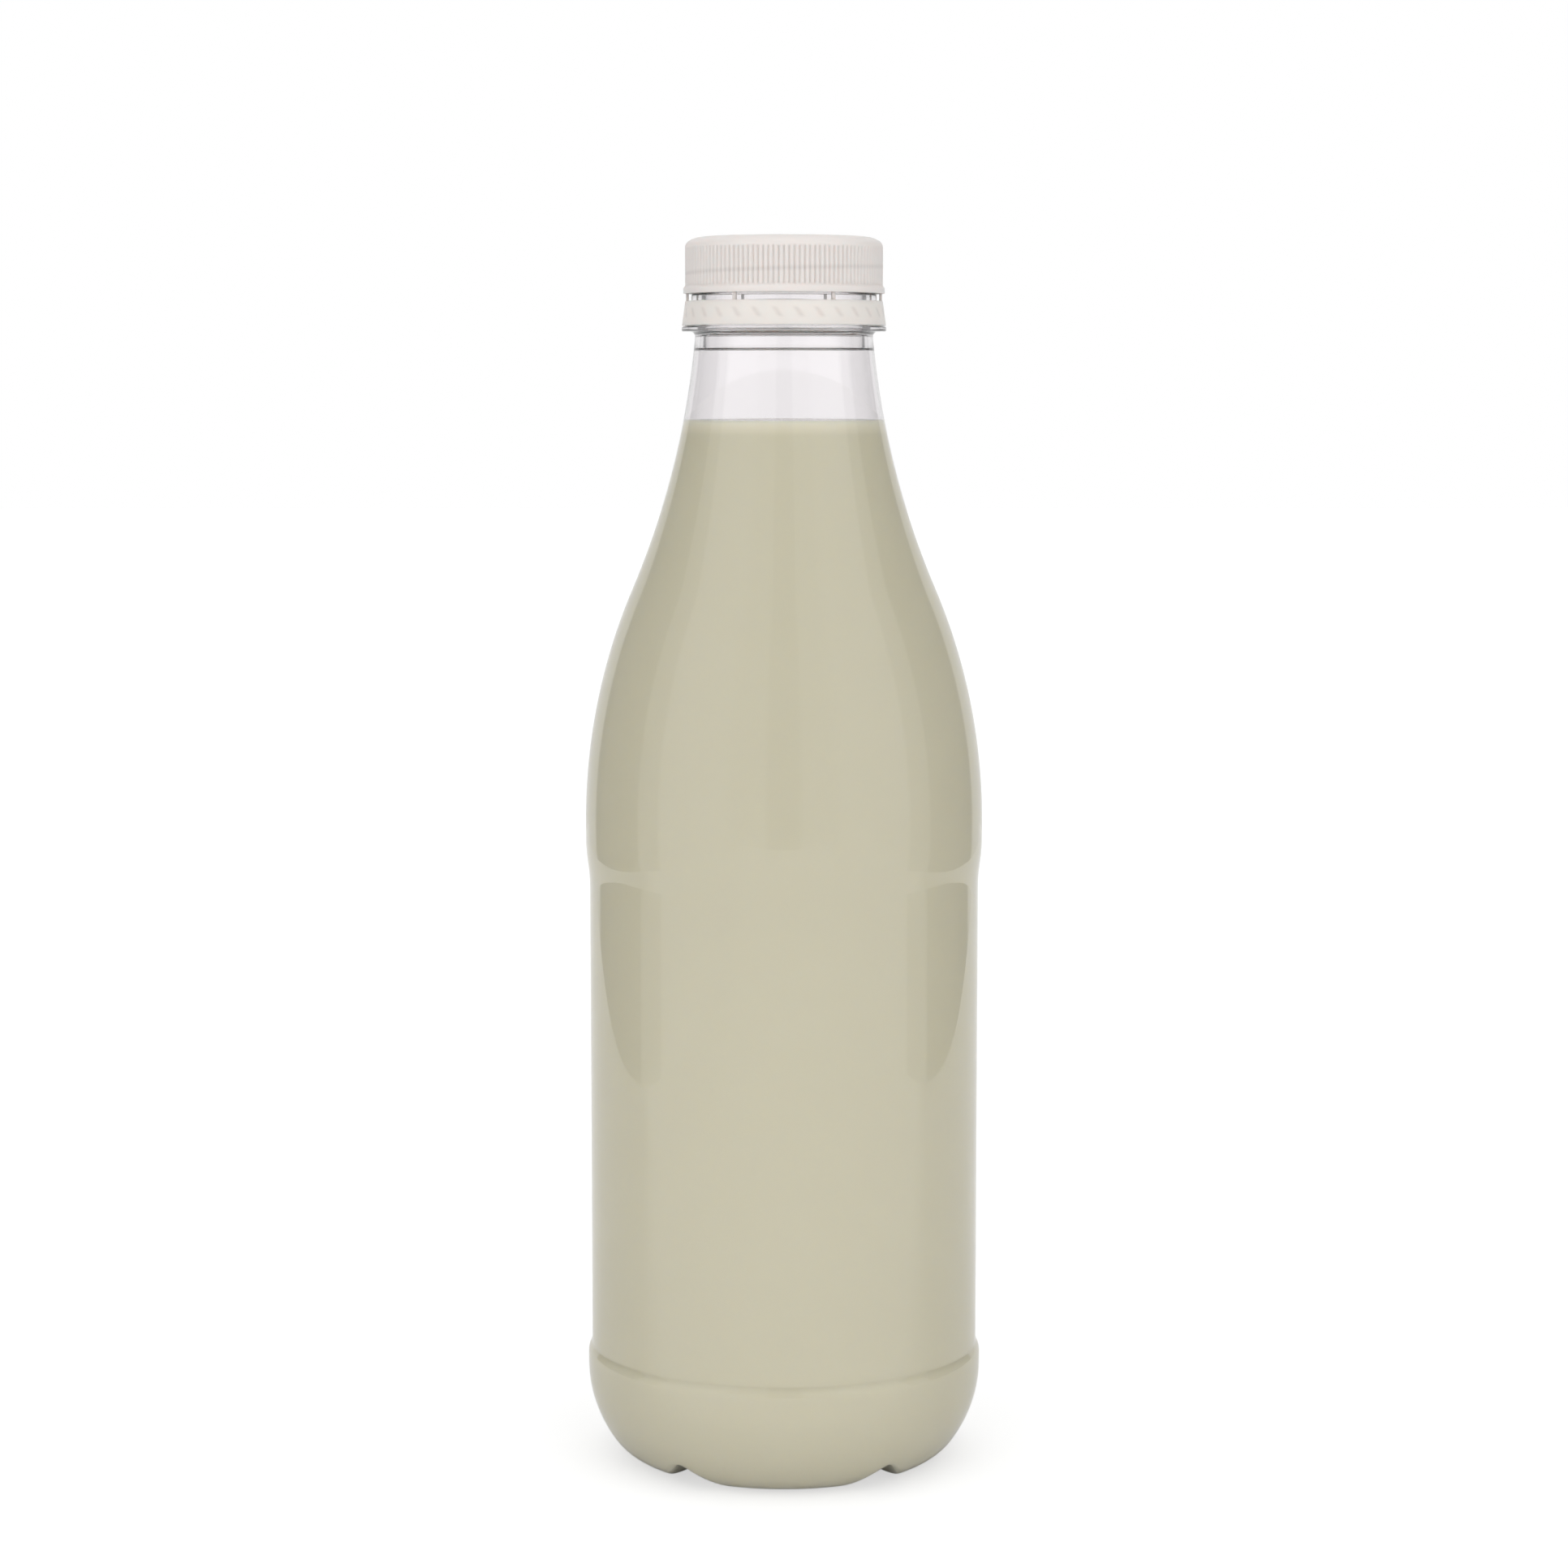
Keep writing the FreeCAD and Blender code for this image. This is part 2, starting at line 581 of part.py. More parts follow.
def check(pieces):
    """Stop if any object of the document failed or any piece isn't one sound solid."""
    for item in doc.Objects:
        if "Invalid" in item.State or "Error" in item.State:
            raise RuntimeError(f"{item.Label} failed: {item.State}")
    for piece in pieces:
        shape = piece.Shape
        if shape.isNull() or not shape.isValid() or len(shape.Solids) != 1:
            raise RuntimeError(f"{piece.Label} isn't one sound solid")


def write(pieces):
    """Write each piece to its own STEP file, named by its label."""
    os.makedirs("parts", exist_ok=True)
    for piece in pieces:
        piece.Shape.exportStep(os.path.join("parts", f"{piece.Label}.step"))
        print(f"{piece.Label}: {piece.Shape.Volume / 1000:.2f} cm3, {len(piece.Shape.Faces)} faces")


pieces = [*make_bottle_and_milk(), make_closure()]
doc.recompute()
check(pieces)
write(pieces)
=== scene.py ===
from math import acos, atan2, ceil, cos, pi, radians, sin, sqrt, tau
from types import SimpleNamespace

import bmesh
import bpy
import numpy as np
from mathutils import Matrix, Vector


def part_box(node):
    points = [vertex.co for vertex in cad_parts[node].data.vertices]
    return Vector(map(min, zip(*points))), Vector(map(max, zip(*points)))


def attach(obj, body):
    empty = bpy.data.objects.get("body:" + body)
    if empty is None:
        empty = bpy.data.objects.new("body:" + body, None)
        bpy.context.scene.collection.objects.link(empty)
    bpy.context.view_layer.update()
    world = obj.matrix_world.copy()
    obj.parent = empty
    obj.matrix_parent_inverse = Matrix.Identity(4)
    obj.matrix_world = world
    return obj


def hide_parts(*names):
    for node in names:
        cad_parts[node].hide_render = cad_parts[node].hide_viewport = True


bl_info = {
    "name": "Milk bottle",
    "version": (1, 0, 0),
    "blender": (4, 5, 0),
    "location": "3D View > Sidebar > Milk bottle",
    "description": "Makes a blown milk bottle, the milk in it and its ribbed screw closure",
    "category": "Add Mesh",
}

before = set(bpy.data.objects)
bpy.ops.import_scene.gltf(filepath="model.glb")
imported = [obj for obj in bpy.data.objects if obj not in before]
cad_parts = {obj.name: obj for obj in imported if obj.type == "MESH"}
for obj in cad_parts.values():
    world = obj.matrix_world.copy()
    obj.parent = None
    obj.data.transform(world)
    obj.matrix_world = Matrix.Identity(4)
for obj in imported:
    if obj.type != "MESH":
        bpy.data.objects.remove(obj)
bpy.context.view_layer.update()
BODY_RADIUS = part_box("bottle")[1].x
MILK_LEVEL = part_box("milk")[1].z
BAND_BOTTOM, CLOSURE_TOP = (corner.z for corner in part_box("closure"))

MM = 0.001
LEFT, RIGHT = 1, -1
FINE, COARSE = 1.0 * MM, 2.5 * MM   # longest part of an arc, on the base and above it
WELD = 0.001 * MM                   # points nearer than this are one point
THREAD_FADE = 0.08                  # turns over which a thread's end runs out
HDPE = "natural_moulded_HDPE"


# ---- sizes and colours -----------------------------------------------------------------------

def length(name, millimetres, description):
    """A length that a user can change, given here in millimetres."""
    return bpy.props.FloatProperty(name=name, description=description, default=millimetres * MM,
                                   min=0.0, precision=5, unit="LENGTH")


def count(name, number, description):
    """A whole number of things."""
    return bpy.props.IntProperty(name=name, description=description, default=number, min=3)


def angle(name, degrees, description):
    """An angle, given here in degrees."""
    return bpy.props.FloatProperty(name=name, description=description, default=radians(degrees),
                                   subtype="ANGLE", unit="ROTATION")


def linear(hex_colour):
    """An sRGB hex colour as linear red, green, blue and an alpha of 1."""
    channels = [int(hex_colour[i:i + 2], 16) / 255 for i in (1, 3, 5)]
    return (*(c / 12.92 if c <= 0.04045 else ((c + 0.055) / 1.055) ** 2.4 for c in channels), 1.0)


def amount(name, number, description):
    """A plain number from 0 up: a brightness, a share or a number of turns."""
    return bpy.props.FloatProperty(name=name, description=description, default=number, min=0.0)


def colour(name, hex_colour, description):
    """A colour, given here as sRGB hex."""
    return bpy.props.FloatVectorProperty(name=name, description=description, size=4, min=0.0,
                                         max=1.0, subtype="COLOR", default=linear(hex_colour))


class BottleSizes(bpy.types.PropertyGroup):
    """Sizes of the blown bottle and its neck finish."""
    body_radius: length("Body radius", BODY_RADIUS / MM, "Widest radius, at heel and bulge")
    wall: length("Wall", 0.45, "Wall of the blown bottle")
    foot_inset: length("Foot inset", 14.2, "From the widest radius in to the foot circle")
    foot_land: length("Foot land", 1.6, "Width of the flat that each foot stands on")
    foot_curve: length("Foot curve", 11.2, "Radius of the heel's lower curve")
    foot_inner_curve: length("Foot inner curve", 2.5, "Radius where the feet turn into the dome")
    dome_height: length("Dome height", 8.5, "Height of the pushed-up middle of the base")
    grooves: count("Grooves", 5, "Grooves across the base, one between each two feet")
    groove_height: length("Groove height", 5.3, "Height of a groove's ridge above the feet")
    groove_round: length("Groove round", 1.5, "Radius along a groove's ridge")
    groove_slope: angle("Groove slope", 41.0, "Angle of a groove's sides")
    groove_lip: length("Groove lip", 1.2, "How softly a groove's sides meet the feet")
    heel_height: length("Heel height", 20.5, "Height where the heel is widest")
    heel_band: length("Heel band", 2.1, "Upright band above that")
    heel_step: length("Heel step", 2.6, "Height of the step in to the panel")
    heel_turn: length("Heel turn", 1.8, "Height in that step where it turns hollow")
    panel_inset: length("Panel inset", 0.8, "How far the label panel lies in")
    panel_height: length("Panel height", 98.3, "Height of the label panel")
    bulge_step: length("Bulge step", 10.5, "Height of the step out to the bulge")
    bulge_turn: length("Bulge turn", 5.2, "Height in that step where it turns full")
    bulge_band: length("Bulge band", 3.6, "Upright band of the bulge")
    shoulder_height: length("Shoulder height", 103.3, "From the bulge up to the transfer ring")
    shoulder_turn: length("Shoulder turn", 49.3, "Height where the shoulder turns hollow")
    finish_radius: length("Finish radius", 17.8, "Outside of the neck above the transfer ring")
    finish_wall: length("Finish wall", 1.3, "Wall of the neck, which isn't blown")
    finish_height: length("Finish height", 18.1, "From under the transfer ring to the rim")
    rim_bevel: length("Rim bevel", 0.6, "Bevel on the outside of the rim")
    neck_flare: length("Neck flare", 0.2, "How much wider the shoulder's hollow curve ends")
    neck_run: length("Neck run", 14.5, "How far above the ring's underside it would stand upright")
    blend_top: length("Blend top", 3.5, "From the ring down to where the thick wall ends")
    blend_height: length("Blend height", 0.6, "Height over which the thick wall thins")
    ring_reach: length("Ring reach", 3.7, "How far the transfer ring stands out")
    ring_thickness: length("Ring thickness", 1.0, "Thickness of the transfer ring")
    ring_edge: length("Ring edge", 0.3, "Radius of the transfer ring's edges")
    ring_fillet: length("Ring fillet", 1.1, "Radius under the transfer ring")
    bead_reach: length("Bead reach", 1.7, "How far the tamper bead stands out")
    bead_gap: length("Bead gap", 4.7, "From the ring up to the bead")
    bead_height: length("Bead height", 2.1, "Height of the tamper bead")
    bead_bevel: length("Bead bevel", 0.3, "Bevel on the bead's upper edge")
    thread_pitch: length("Thread pitch", 3.2, "Rise of the screw thread in one turn")
    thread_reach: length("Thread reach", 1.0, "How far the neck's thread stands out")
    thread_width: length("Thread width", 1.5, "Width of the thread at its foot")
    thread_start: length("Thread start", 10.3, "Thread's start, up from the ring's underside")
    thread_turns: amount("Thread turns", 1.2, "Turns that the thread makes")
    thread_face: length("Thread face", 0.22, "Height of the faces that the thread is raised from")
    plain_below: length("Plain below", 1.0, "Plain neck between bead and thread")
    plain_above: length("Plain above", 0.3, "Plain neck between thread and rim")
    edge: length("Edge", 0.25, "Radius of the neck's moulded edges")
    segments: count("Segments", 250, "Faces round the bottle")


class MilkSizes(bpy.types.PropertyGroup):
    """Sizes of the milk."""
    level: length("Level", MILK_LEVEL / MM, "Height that the milk reaches on the wall")
    meniscus: length("Meniscus", 0.12, "How far the milk climbs the wall")
    meniscus_width: length("Meniscus width", 0.6, "How far in from the wall it climbs")
    # Painted light: how deep the milk's top is painted paler, for light that comes in through its
    # surface.
    painted_light_depth: length("Pale depth", 3.2, "Depth of the milk's paler top")
    bite: length("Bite", 0.15, "How far the milk reaches into the wall, so that no gap shows")


class ClosureSizes(bpy.types.PropertyGroup):
    """Sizes of the screw closure."""
    top: length("Top", CLOSURE_TOP / MM, "Height of the closure's top")
    foot: length("Foot", BAND_BOTTOM / MM, "Height of the tamper band's foot")
    disc_thickness: length("Disc", 1.5, "Top plate")
    crown_reach: length("Crown reach", 3.5, "How far in from the ribs the flat top ends")
    crown_height: length("Crown height", 2.2, "Height over which the top rounds down")
    corner_curve: length("Corner", 1.7, "Radius where that rounding meets the side")
    thread_room: length("Thread room", 1.35, "From the neck out to the skirt's inside")
    skirt_wall: length("Skirt wall", 1.25, "Wall of the skirt between its ribs")
    rib_depth: length("Rib depth", 0.35, "How far the ribs stand out of the skirt")
    ribs: count("Ribs", 120, "Ribs round the skirt")
    rib_root: length("Rib root", 0.16, "Width of a groove between ribs at its bottom")
    rib_mouth: length("Rib mouth", 0.62, "Width of a groove between ribs at the crests")
    rib_runout: length("Rib runout", 0.3, "Height over which a groove runs out at its ends")
    rim_reach: length("Rim reach", 0.4, "How far the skirt's lower rim stands out")
    rim_height: length("Rim height", 1.1, "Height of the skirt's lower rim")
    rim_slope: length("Rim slope", 0.5, "Height of the slope from the rim to the ribs")
    plug_gap: length("Plug gap", 0.1, "Clearance of the sealing plug in the neck")
    plug_wall: length("Plug wall", 0.8, "Wall of the sealing plug")
    plug_depth: length("Plug depth", 2.5, "How deep the sealing plug reaches")
    seat_gap: length("Seat gap", 0.03, "Gap over the rim, so that the two surfaces don't flicker")
    band_height: length("Band height", 5.1, "Height of the tamper band")
    band_wall: length("Band wall", 0.9, "Wall of the tamper band")
    band_flare: length("Band flare", 0.7, "How much wider the band is at its foot")
    slit: length("Slit", 1.6, "Height of the slit between band and skirt")
    bridges: count("Bridges", 6, "Bridges that hold the band to the skirt")
    bridge_width: length("Bridge width", 0.8, "Width of a bridge")
    bridge_wall: length("Bridge wall", 0.6, "Thickness of a bridge")
    flaps: count("Flaps", 30, "Flaps that catch under the bead")
    flap_width: length("Flap width", 2.8, "Width of a flap")
    flap_wall: length("Flap wall", 0.45, "Thickness of a flap")
    flap_start: length("Flap start", 1.3, "Height above the band's foot where a flap starts")
    flap_reach: length("Flap reach", 1.25, "How far a flap's tip stands in")
    flap_lean: length("Flap lean", 1.8, "How far round the tip lies from the root")
    flap_gap: length("Flap gap", 0.5, "Clearance between a flap's tip and the bead")
    band_segments: count("Band segments", 360, "Faces round the tamper band")
    flap_first: angle("Flap first", 4.8, "Where the first flap stands, round from +X")
    overlap: length("Overlap", 0.3, "How far joined shapes run into each other")
    thread_reach: length("Thread reach", 0.8, "How far the inner thread stands in")
    thread_face: length("Thread face", 0.25, "Height of the faces that the thread is raised from")
    plain_below: length("Plain below", 0.5, "Plain skirt between its foot and the thread")
    plain_above: length("Plain above", 0.6, "Plain skirt between the thread and the top plate")
    edge: length("Edge", 0.12, "Radius of the moulded edges")
    # Painted shade: the flaps and the neck's thread are painted as faint darker strokes, for the
    # shade they make through the translucent wall.
    flap_shade_width: length("Stroke width", 2.0, "Width of the strokes that the flaps show through")
    painted_shade_strength: amount("Show-through", 0.35, "How strongly flaps and thread show through")


class Finishes(bpy.types.PropertyGroup):
    """Colours of the materials."""
    pet: colour("PET", "#f7f5f6", "Tint of the clear bottle")
    milk: colour("Milk", "#e6e3cd", "Body colour of the milk")
    # Painted light: the milk's top is painted in this paler colour, for light that comes in through
    # its surface.
    milk_light: colour("Milk, top", "#fffae8", "Colour of the milk's thin top edge")
    hdpe: colour("HDPE", "#e9e3df", "Colour of the natural closure")
    # Painted light: the thin tamper band is painted paler and warmer, for light from behind that
    # passes its thin walls.
    hdpe_painted_backlight: colour("HDPE, thin", "#fff4eb", "Colour of its thin tamper band")
    # Painted shade: the colour of the strokes where the flaps and thread behind the wall shade it.
    hdpe_shade: colour("HDPE, shade", "#c4bebb", "Colour where something behind shows through")


class StudioSizes(bpy.types.PropertyGroup):
    """Camera and studio."""
    camera_distance: length("Camera distance", 783.0, "From the bottle's axis to the camera")
    camera_height: length("Camera height", 230.3, "Height of the camera")
    camera_pitch: angle("Camera pitch", 6.2, "How far the camera looks down")
    camera_lens: length("Camera lens", 84.9, "Focal length")
    camera_sensor: length("Camera sensor", 36.0, "Width of the sensor")
    camera_near: length("Camera near", 10.0, "Nearest distance that the camera sees")
    floor_half_width: length("Floor half width", 6000.0, "Half of the floor's width")
    floor_glow: amount("Floor glow", 0.6, "The floor's own light, which makes it look white")
    table_half_width: length("Table half width", 500.0, "Half of the white table's width")
    table_depth: length("Table depth", 1100.0, "How far the white table runs back and forth")
    table_drop: length("Table drop", 0.02, "How far the table's top lies under the floor")
    table_glow: amount("Table glow", 0.54, "Light that shines up through the table")
    glow_start: length("Glow start", 8.0, "From the axis towards the camera, where it begins")
    glow_full: length("Glow full", 85.0, "From the axis towards the camera, where it is full")
    backdrop_edge: angle("Backdrop edge", 40.0, "Where the white backdrop ends, from straight back")
    frame_edge: angle("Frame edge", 87.0, "Where the softboxes' dimmer frames begin")
    softbox_edge: angle("Softbox edge", 103.0, "Where the softboxes begin")
    front_edge: angle("Front edge", 148.0, "Where the room round the camera begins")
    camera_edge: angle("Camera edge", 170.0, "Where the camera and its stand begin")
    backdrop: amount("Backdrop", 0.88, "Brightness of the backdrop in reflections")
    gap: amount("Gap", 0.3, "Brightness between the backdrop and the softboxes")
    softbox_frame: amount("Softbox frames", 0.9, "Brightness of the softboxes' frames")
    softbox: amount("Softboxes", 1.5, "Brightness of the softboxes")
    front: amount("Front", 1.3, "Brightness round the camera")
    camera_stand: amount("Camera stand", 0.9, "Brightness of the camera and its stand")
    overhead: amount("Overhead", 1.45, "Brightness of the light overhead")
    overhead_low: amount("Overhead low", 0.7, "Sine of the height where that light begins")
    overhead_high: amount("Overhead high", 0.85, "Sine of the height where it is full")


GROUPS = {"bottle_sizes": BottleSizes, "milk_sizes": MilkSizes, "closure_sizes": ClosureSizes,
          "finishes": Finishes, "studio_sizes": StudioSizes}


# ---- outlines and turned meshes --------------------------------------------------------------

class Outline:
    """Points (radius, height) of a turned shape, drawn end to end with lines and arcs."""

    def __init__(self, across, up, longest=COARSE, sharpest=radians(9)):
        """Start at a point; no part of an arc is longer or bends more than these two."""
        self.points = [(across, up)]
        self.longest = longest
        self.sharpest = sharpest

    def line(self, across, up, longest=None):
        """A straight stretch, cut up only if a longest part is given."""
        x, z = self.points[-1]
        run = sqrt((across - x) ** 2 + (up - z) ** 2)
        parts = ceil(run / longest) if longest else 1
        self.points += [(x + (across - x) * i / parts, z + (up - z) * i / parts)
                        for i in range(1, parts + 1)]
        return self

    def arc(self, across, up, radius, turn):
        """An arc of under half a turn, which bends LEFT or RIGHT as it is drawn."""
        x, z = self.points[-1]
        half_x, half_z = (across - x) / 2, (up - z) / 2
        half = sqrt(half_x ** 2 + half_z ** 2)
        reach = sqrt(max(radius ** 2 - half ** 2, 0.0)) * turn / half
        centre_x, centre_z = x + half_x - half_z * reach, z + half_z + half_x * reach
        first = atan2(z - centre_z, x - centre_x)
        sweep = (atan2(up - centre_z, across - centre_x) - first) * turn % tau * turn
        parts = max(ceil(abs(sweep) * radius / self.longest), ceil(abs(sweep) / self.sharpest))
        for i in range(1, parts):
            at = first + sweep * i / parts
            self.points.append((centre_x + radius * cos(at), centre_z + radius * sin(at)))
        self.points.append((across, up))
        return self

    def step(self, across, up, height, turn):
        """Carry an upright wall in or out to another one by two tangent arcs."""
        joint, first, second = step_bend(self.points[-1], (across, up), height)
        return self.arc(*joint, first, turn).arc(across, up, second, -turn)


def step_bend(low, high, height):
    """Joint and radii of two tangent arcs between two upright walls."""
    across, rise = high[0] - low[0], high[1] - low[1]
    share = height / rise
    both = (across ** 2 + rise ** 2) / (2 * abs(across))
    return (low[0] + share * across, low[1] + height), share * both, (1 - share) * both


def corner_bend(ahead, aside, first_radius):
    """Second radius and joint direction of two tangent arcs that turn a square corner."""
    second = (ahead ** 2 + (aside - first_radius) ** 2 - first_radius ** 2) / (
        2 * (ahead - first_radius))
    apart = second - first_radius
    return second, (second - ahead) / apart, (aside - first_radius) / apart


def soften(points, radius, parts=3, blunt=radians(150), most=0.4):
    """The same outline with each corner sharper than blunt rounded.

    No rounding takes more than the given share of a side, so that two never meet.
    """
    made = [points[0]]
    for before, here, after in zip(points, points[1:], points[2:]):
        to_before = np.subtract(before, here)
        to_after = np.subtract(after, here)
        runs = np.linalg.norm(to_before), np.linalg.norm(to_after)
        opening = acos(np.clip(to_before @ to_after / (runs[0] * runs[1]), -1, 1))
        if opening > blunt:
            made.append(here)
            continue
        cut = min(radius, most * min(runs))
        first = here + to_before * cut / runs[0]
        last = here + to_after * cut / runs[1]
        for i in range(parts + 1):
            share = i / parts
            made.append(tuple((1 - share) ** 2 * first + 2 * share * (1 - share) * np.array(here)
                              + share ** 2 * last))
    return made + [points[-1]]


def turned_mesh(name, points, angles, marks=()):
    """A mesh turned round the upright axis, with a pole wherever the outline meets the axis.

    The marks are named numbers of each outline point, kept as attributes of its ring.
    """
    columns = len(angles)
    turns = np.array([(cos(a), sin(a)) for a in angles])
    places, rings = [], []
    for across, up in points:
        if across < WELD:
            rings.append([len(places)])
            places.append((0.0, 0.0, up))
        else:
            rings.append(range(len(places), len(places) + columns))
            places += [(across * c, across * s, up) for c, s in turns]
    faces = []
    for low, high in zip(rings, rings[1:]):
        for i in range(columns):
            j = (i + 1) % columns
            if len(low) == 1:
                faces.append((low[0], high[j], high[i]))
            elif len(high) == 1:
                faces.append((low[i], low[j], high[0]))
            else:
                faces.append((low[i], low[j], high[j], high[i]))
    mesh = bpy.data.meshes.new(name)
    mesh.from_pydata(places, [], faces)
    for mark, numbers in dict(marks).items():
        attribute = mesh.attributes.new(mark, "FLOAT", "POINT")
        spread = [number for ring, number in zip(rings, numbers) for _ in ring]
        attribute.data.foreach_set("value", spread)
    mesh.update()
    return mesh


def even_angles(segments):
    """Angles evenly round the turn."""
    return [tau * i / segments for i in range(segments)]


# ---- nodes -----------------------------------------------------------------------------------

def add(tree, kind, inputs=(), **settings):
    """Add a node, and set or link its inputs; a node given as an input means its first output."""
    node = tree.nodes.new(kind)
    for name, setting in settings.items():
        setattr(node, name, setting)
    for key, given in dict(inputs).items():
        if isinstance(given, bpy.types.Node):
            given = given.outputs[0]
        if isinstance(given, bpy.types.NodeSocket):
            tree.links.new(given, node.inputs[key])
        else:
            node.inputs[key].default_value = given
    return node


def new_tree(name, sockets):
    """A Geometry Nodes tree with a geometry input and output and the named inputs."""
    tree = bpy.data.node_groups.new(name, "GeometryNodeTree")
    tree.interface.new_socket("Geometry", in_out="INPUT", socket_type="NodeSocketGeometry")
    for label, kind in sockets.items():
        tree.interface.new_socket(label, in_out="INPUT", socket_type=kind)
    tree.interface.new_socket("Geometry", in_out="OUTPUT", socket_type="NodeSocketGeometry")
    return tree, tree.nodes.new("NodeGroupInput").outputs


def finish_tree(tree, geometry, material):
    """End a tree in Realize Instances and Set Material."""
    real = add(tree, "GeometryNodeRealizeInstances", {0: geometry})
    painted = add(tree, "GeometryNodeSetMaterial", {0: real, "Material": material})
    add(tree, "NodeGroupOutput", {0: painted})


def run_tree(piece, tree, **given):
    """Run a tree on a piece with the given inputs, and keep the result as its plain mesh."""
    modifier = piece.modifiers.new(tree.name, "NODES")
    modifier.node_group = tree
    for item in tree.interface.items_tree:
        if item.item_type == "SOCKET" and item.in_out == "INPUT" and item.name != "Geometry":
            modifier[item.identifier] = given[item.name.replace(" ", "_").lower()]
    graph = bpy.context.evaluated_depsgraph_get()
    made = bpy.data.meshes.new_from_object(piece.evaluated_get(graph))
    piece.modifiers.clear()
    piece.data = made
    made.name = piece.name
    return piece


def grooves_tree():
    """Presses the grooves between the feet up into a turned base.

    Each groove is a ridge along a ray from the axis, whose sides fall to the feet. A mark named
    depth says how far a point lies inside the outer wall, and its ridge is rounder by that.
    """
    tree, given = new_tree("Base grooves", {
        "Count": "NodeSocketInt", "Height": "NodeSocketFloat", "Round": "NodeSocketFloat",
        "Slope": "NodeSocketFloat", "Lip": "NodeSocketFloat", "First": "NodeSocketFloat",
        "Material": "NodeSocketMaterial"})
    place = add(tree, "ShaderNodeSeparateXYZ", {0: add(tree, "GeometryNodeInputPosition")})
    x, y, z = place.outputs
    depth = add(tree, "GeometryNodeInputNamedAttribute", {"Name": "depth"}, data_type="FLOAT")
    turn = add(tree, "ShaderNodeMath", {0: y, 1: x}, operation="ARCTAN2")
    sector = add(tree, "ShaderNodeMath", {0: tau, 1: given["Count"]}, operation="DIVIDE")
    half = add(tree, "ShaderNodeMath", {0: sector, 1: 0.5}, operation="MULTIPLY")

    # The turn from the nearest groove, and from it the distance beside that groove.
    aside = turn
    for operation, by in (("SUBTRACT", given["First"]), ("ADD", half),
                          ("FLOORED_MODULO", sector), ("SUBTRACT", half)):
        aside = add(tree, "ShaderNodeMath", {0: aside, 1: by}, operation=operation)
    flat = add(tree, "ShaderNodeCombineXYZ", {0: x, 1: y})
    across = add(tree, "ShaderNodeVectorMath", {0: flat}, operation="LENGTH").outputs["Value"]
    sine = add(tree, "ShaderNodeMath", {0: aside}, operation="SINE")
    distance = add(tree, "ShaderNodeMath", {0: across, 1: sine}, operation="MULTIPLY")

    # The ridge is a hyperbola: round on top, straight sides. Rounding it by the depth as well
    # keeps the wall even between the outside and the inside.
    steep = add(tree, "ShaderNodeMath", {0: given["Slope"]}, operation="TANGENT")
    rounder = add(tree, "ShaderNodeMath", {0: given["Round"], 1: depth}, operation="ADD")
    bend = add(tree, "ShaderNodeMath", {0: rounder, 1: steep}, operation="MULTIPLY")
    bend_squared = add(tree, "ShaderNodeMath", {0: bend, 1: bend}, operation="MULTIPLY")
    squared = add(tree, "ShaderNodeMath", {0: distance, 1: distance, 2: bend_squared},
                  operation="MULTIPLY_ADD")
    root = add(tree, "ShaderNodeMath", {0: squared}, operation="SQRT")
    drop = add(tree, "ShaderNodeMath", {0: root, 1: bend}, operation="SUBTRACT")
    fall = add(tree, "ShaderNodeMath", {0: drop, 1: steep}, operation="MULTIPLY")
    top = add(tree, "ShaderNodeMath", {0: given["Height"], 1: depth}, operation="ADD")
    ridge = add(tree, "ShaderNodeMath", {0: top, 1: fall}, operation="SUBTRACT")
    pressed = add(tree, "ShaderNodeMath", {0: z, 1: ridge, 2: given["Lip"]},
                  operation="SMOOTH_MAX")
    moved = add(tree, "ShaderNodeCombineXYZ", {0: x, 1: y, 2: pressed})
    placed = add(tree, "GeometryNodeSetPosition", {0: given["Geometry"], "Position": moved})
    finish_tree(tree, placed, given["Material"])
    return tree


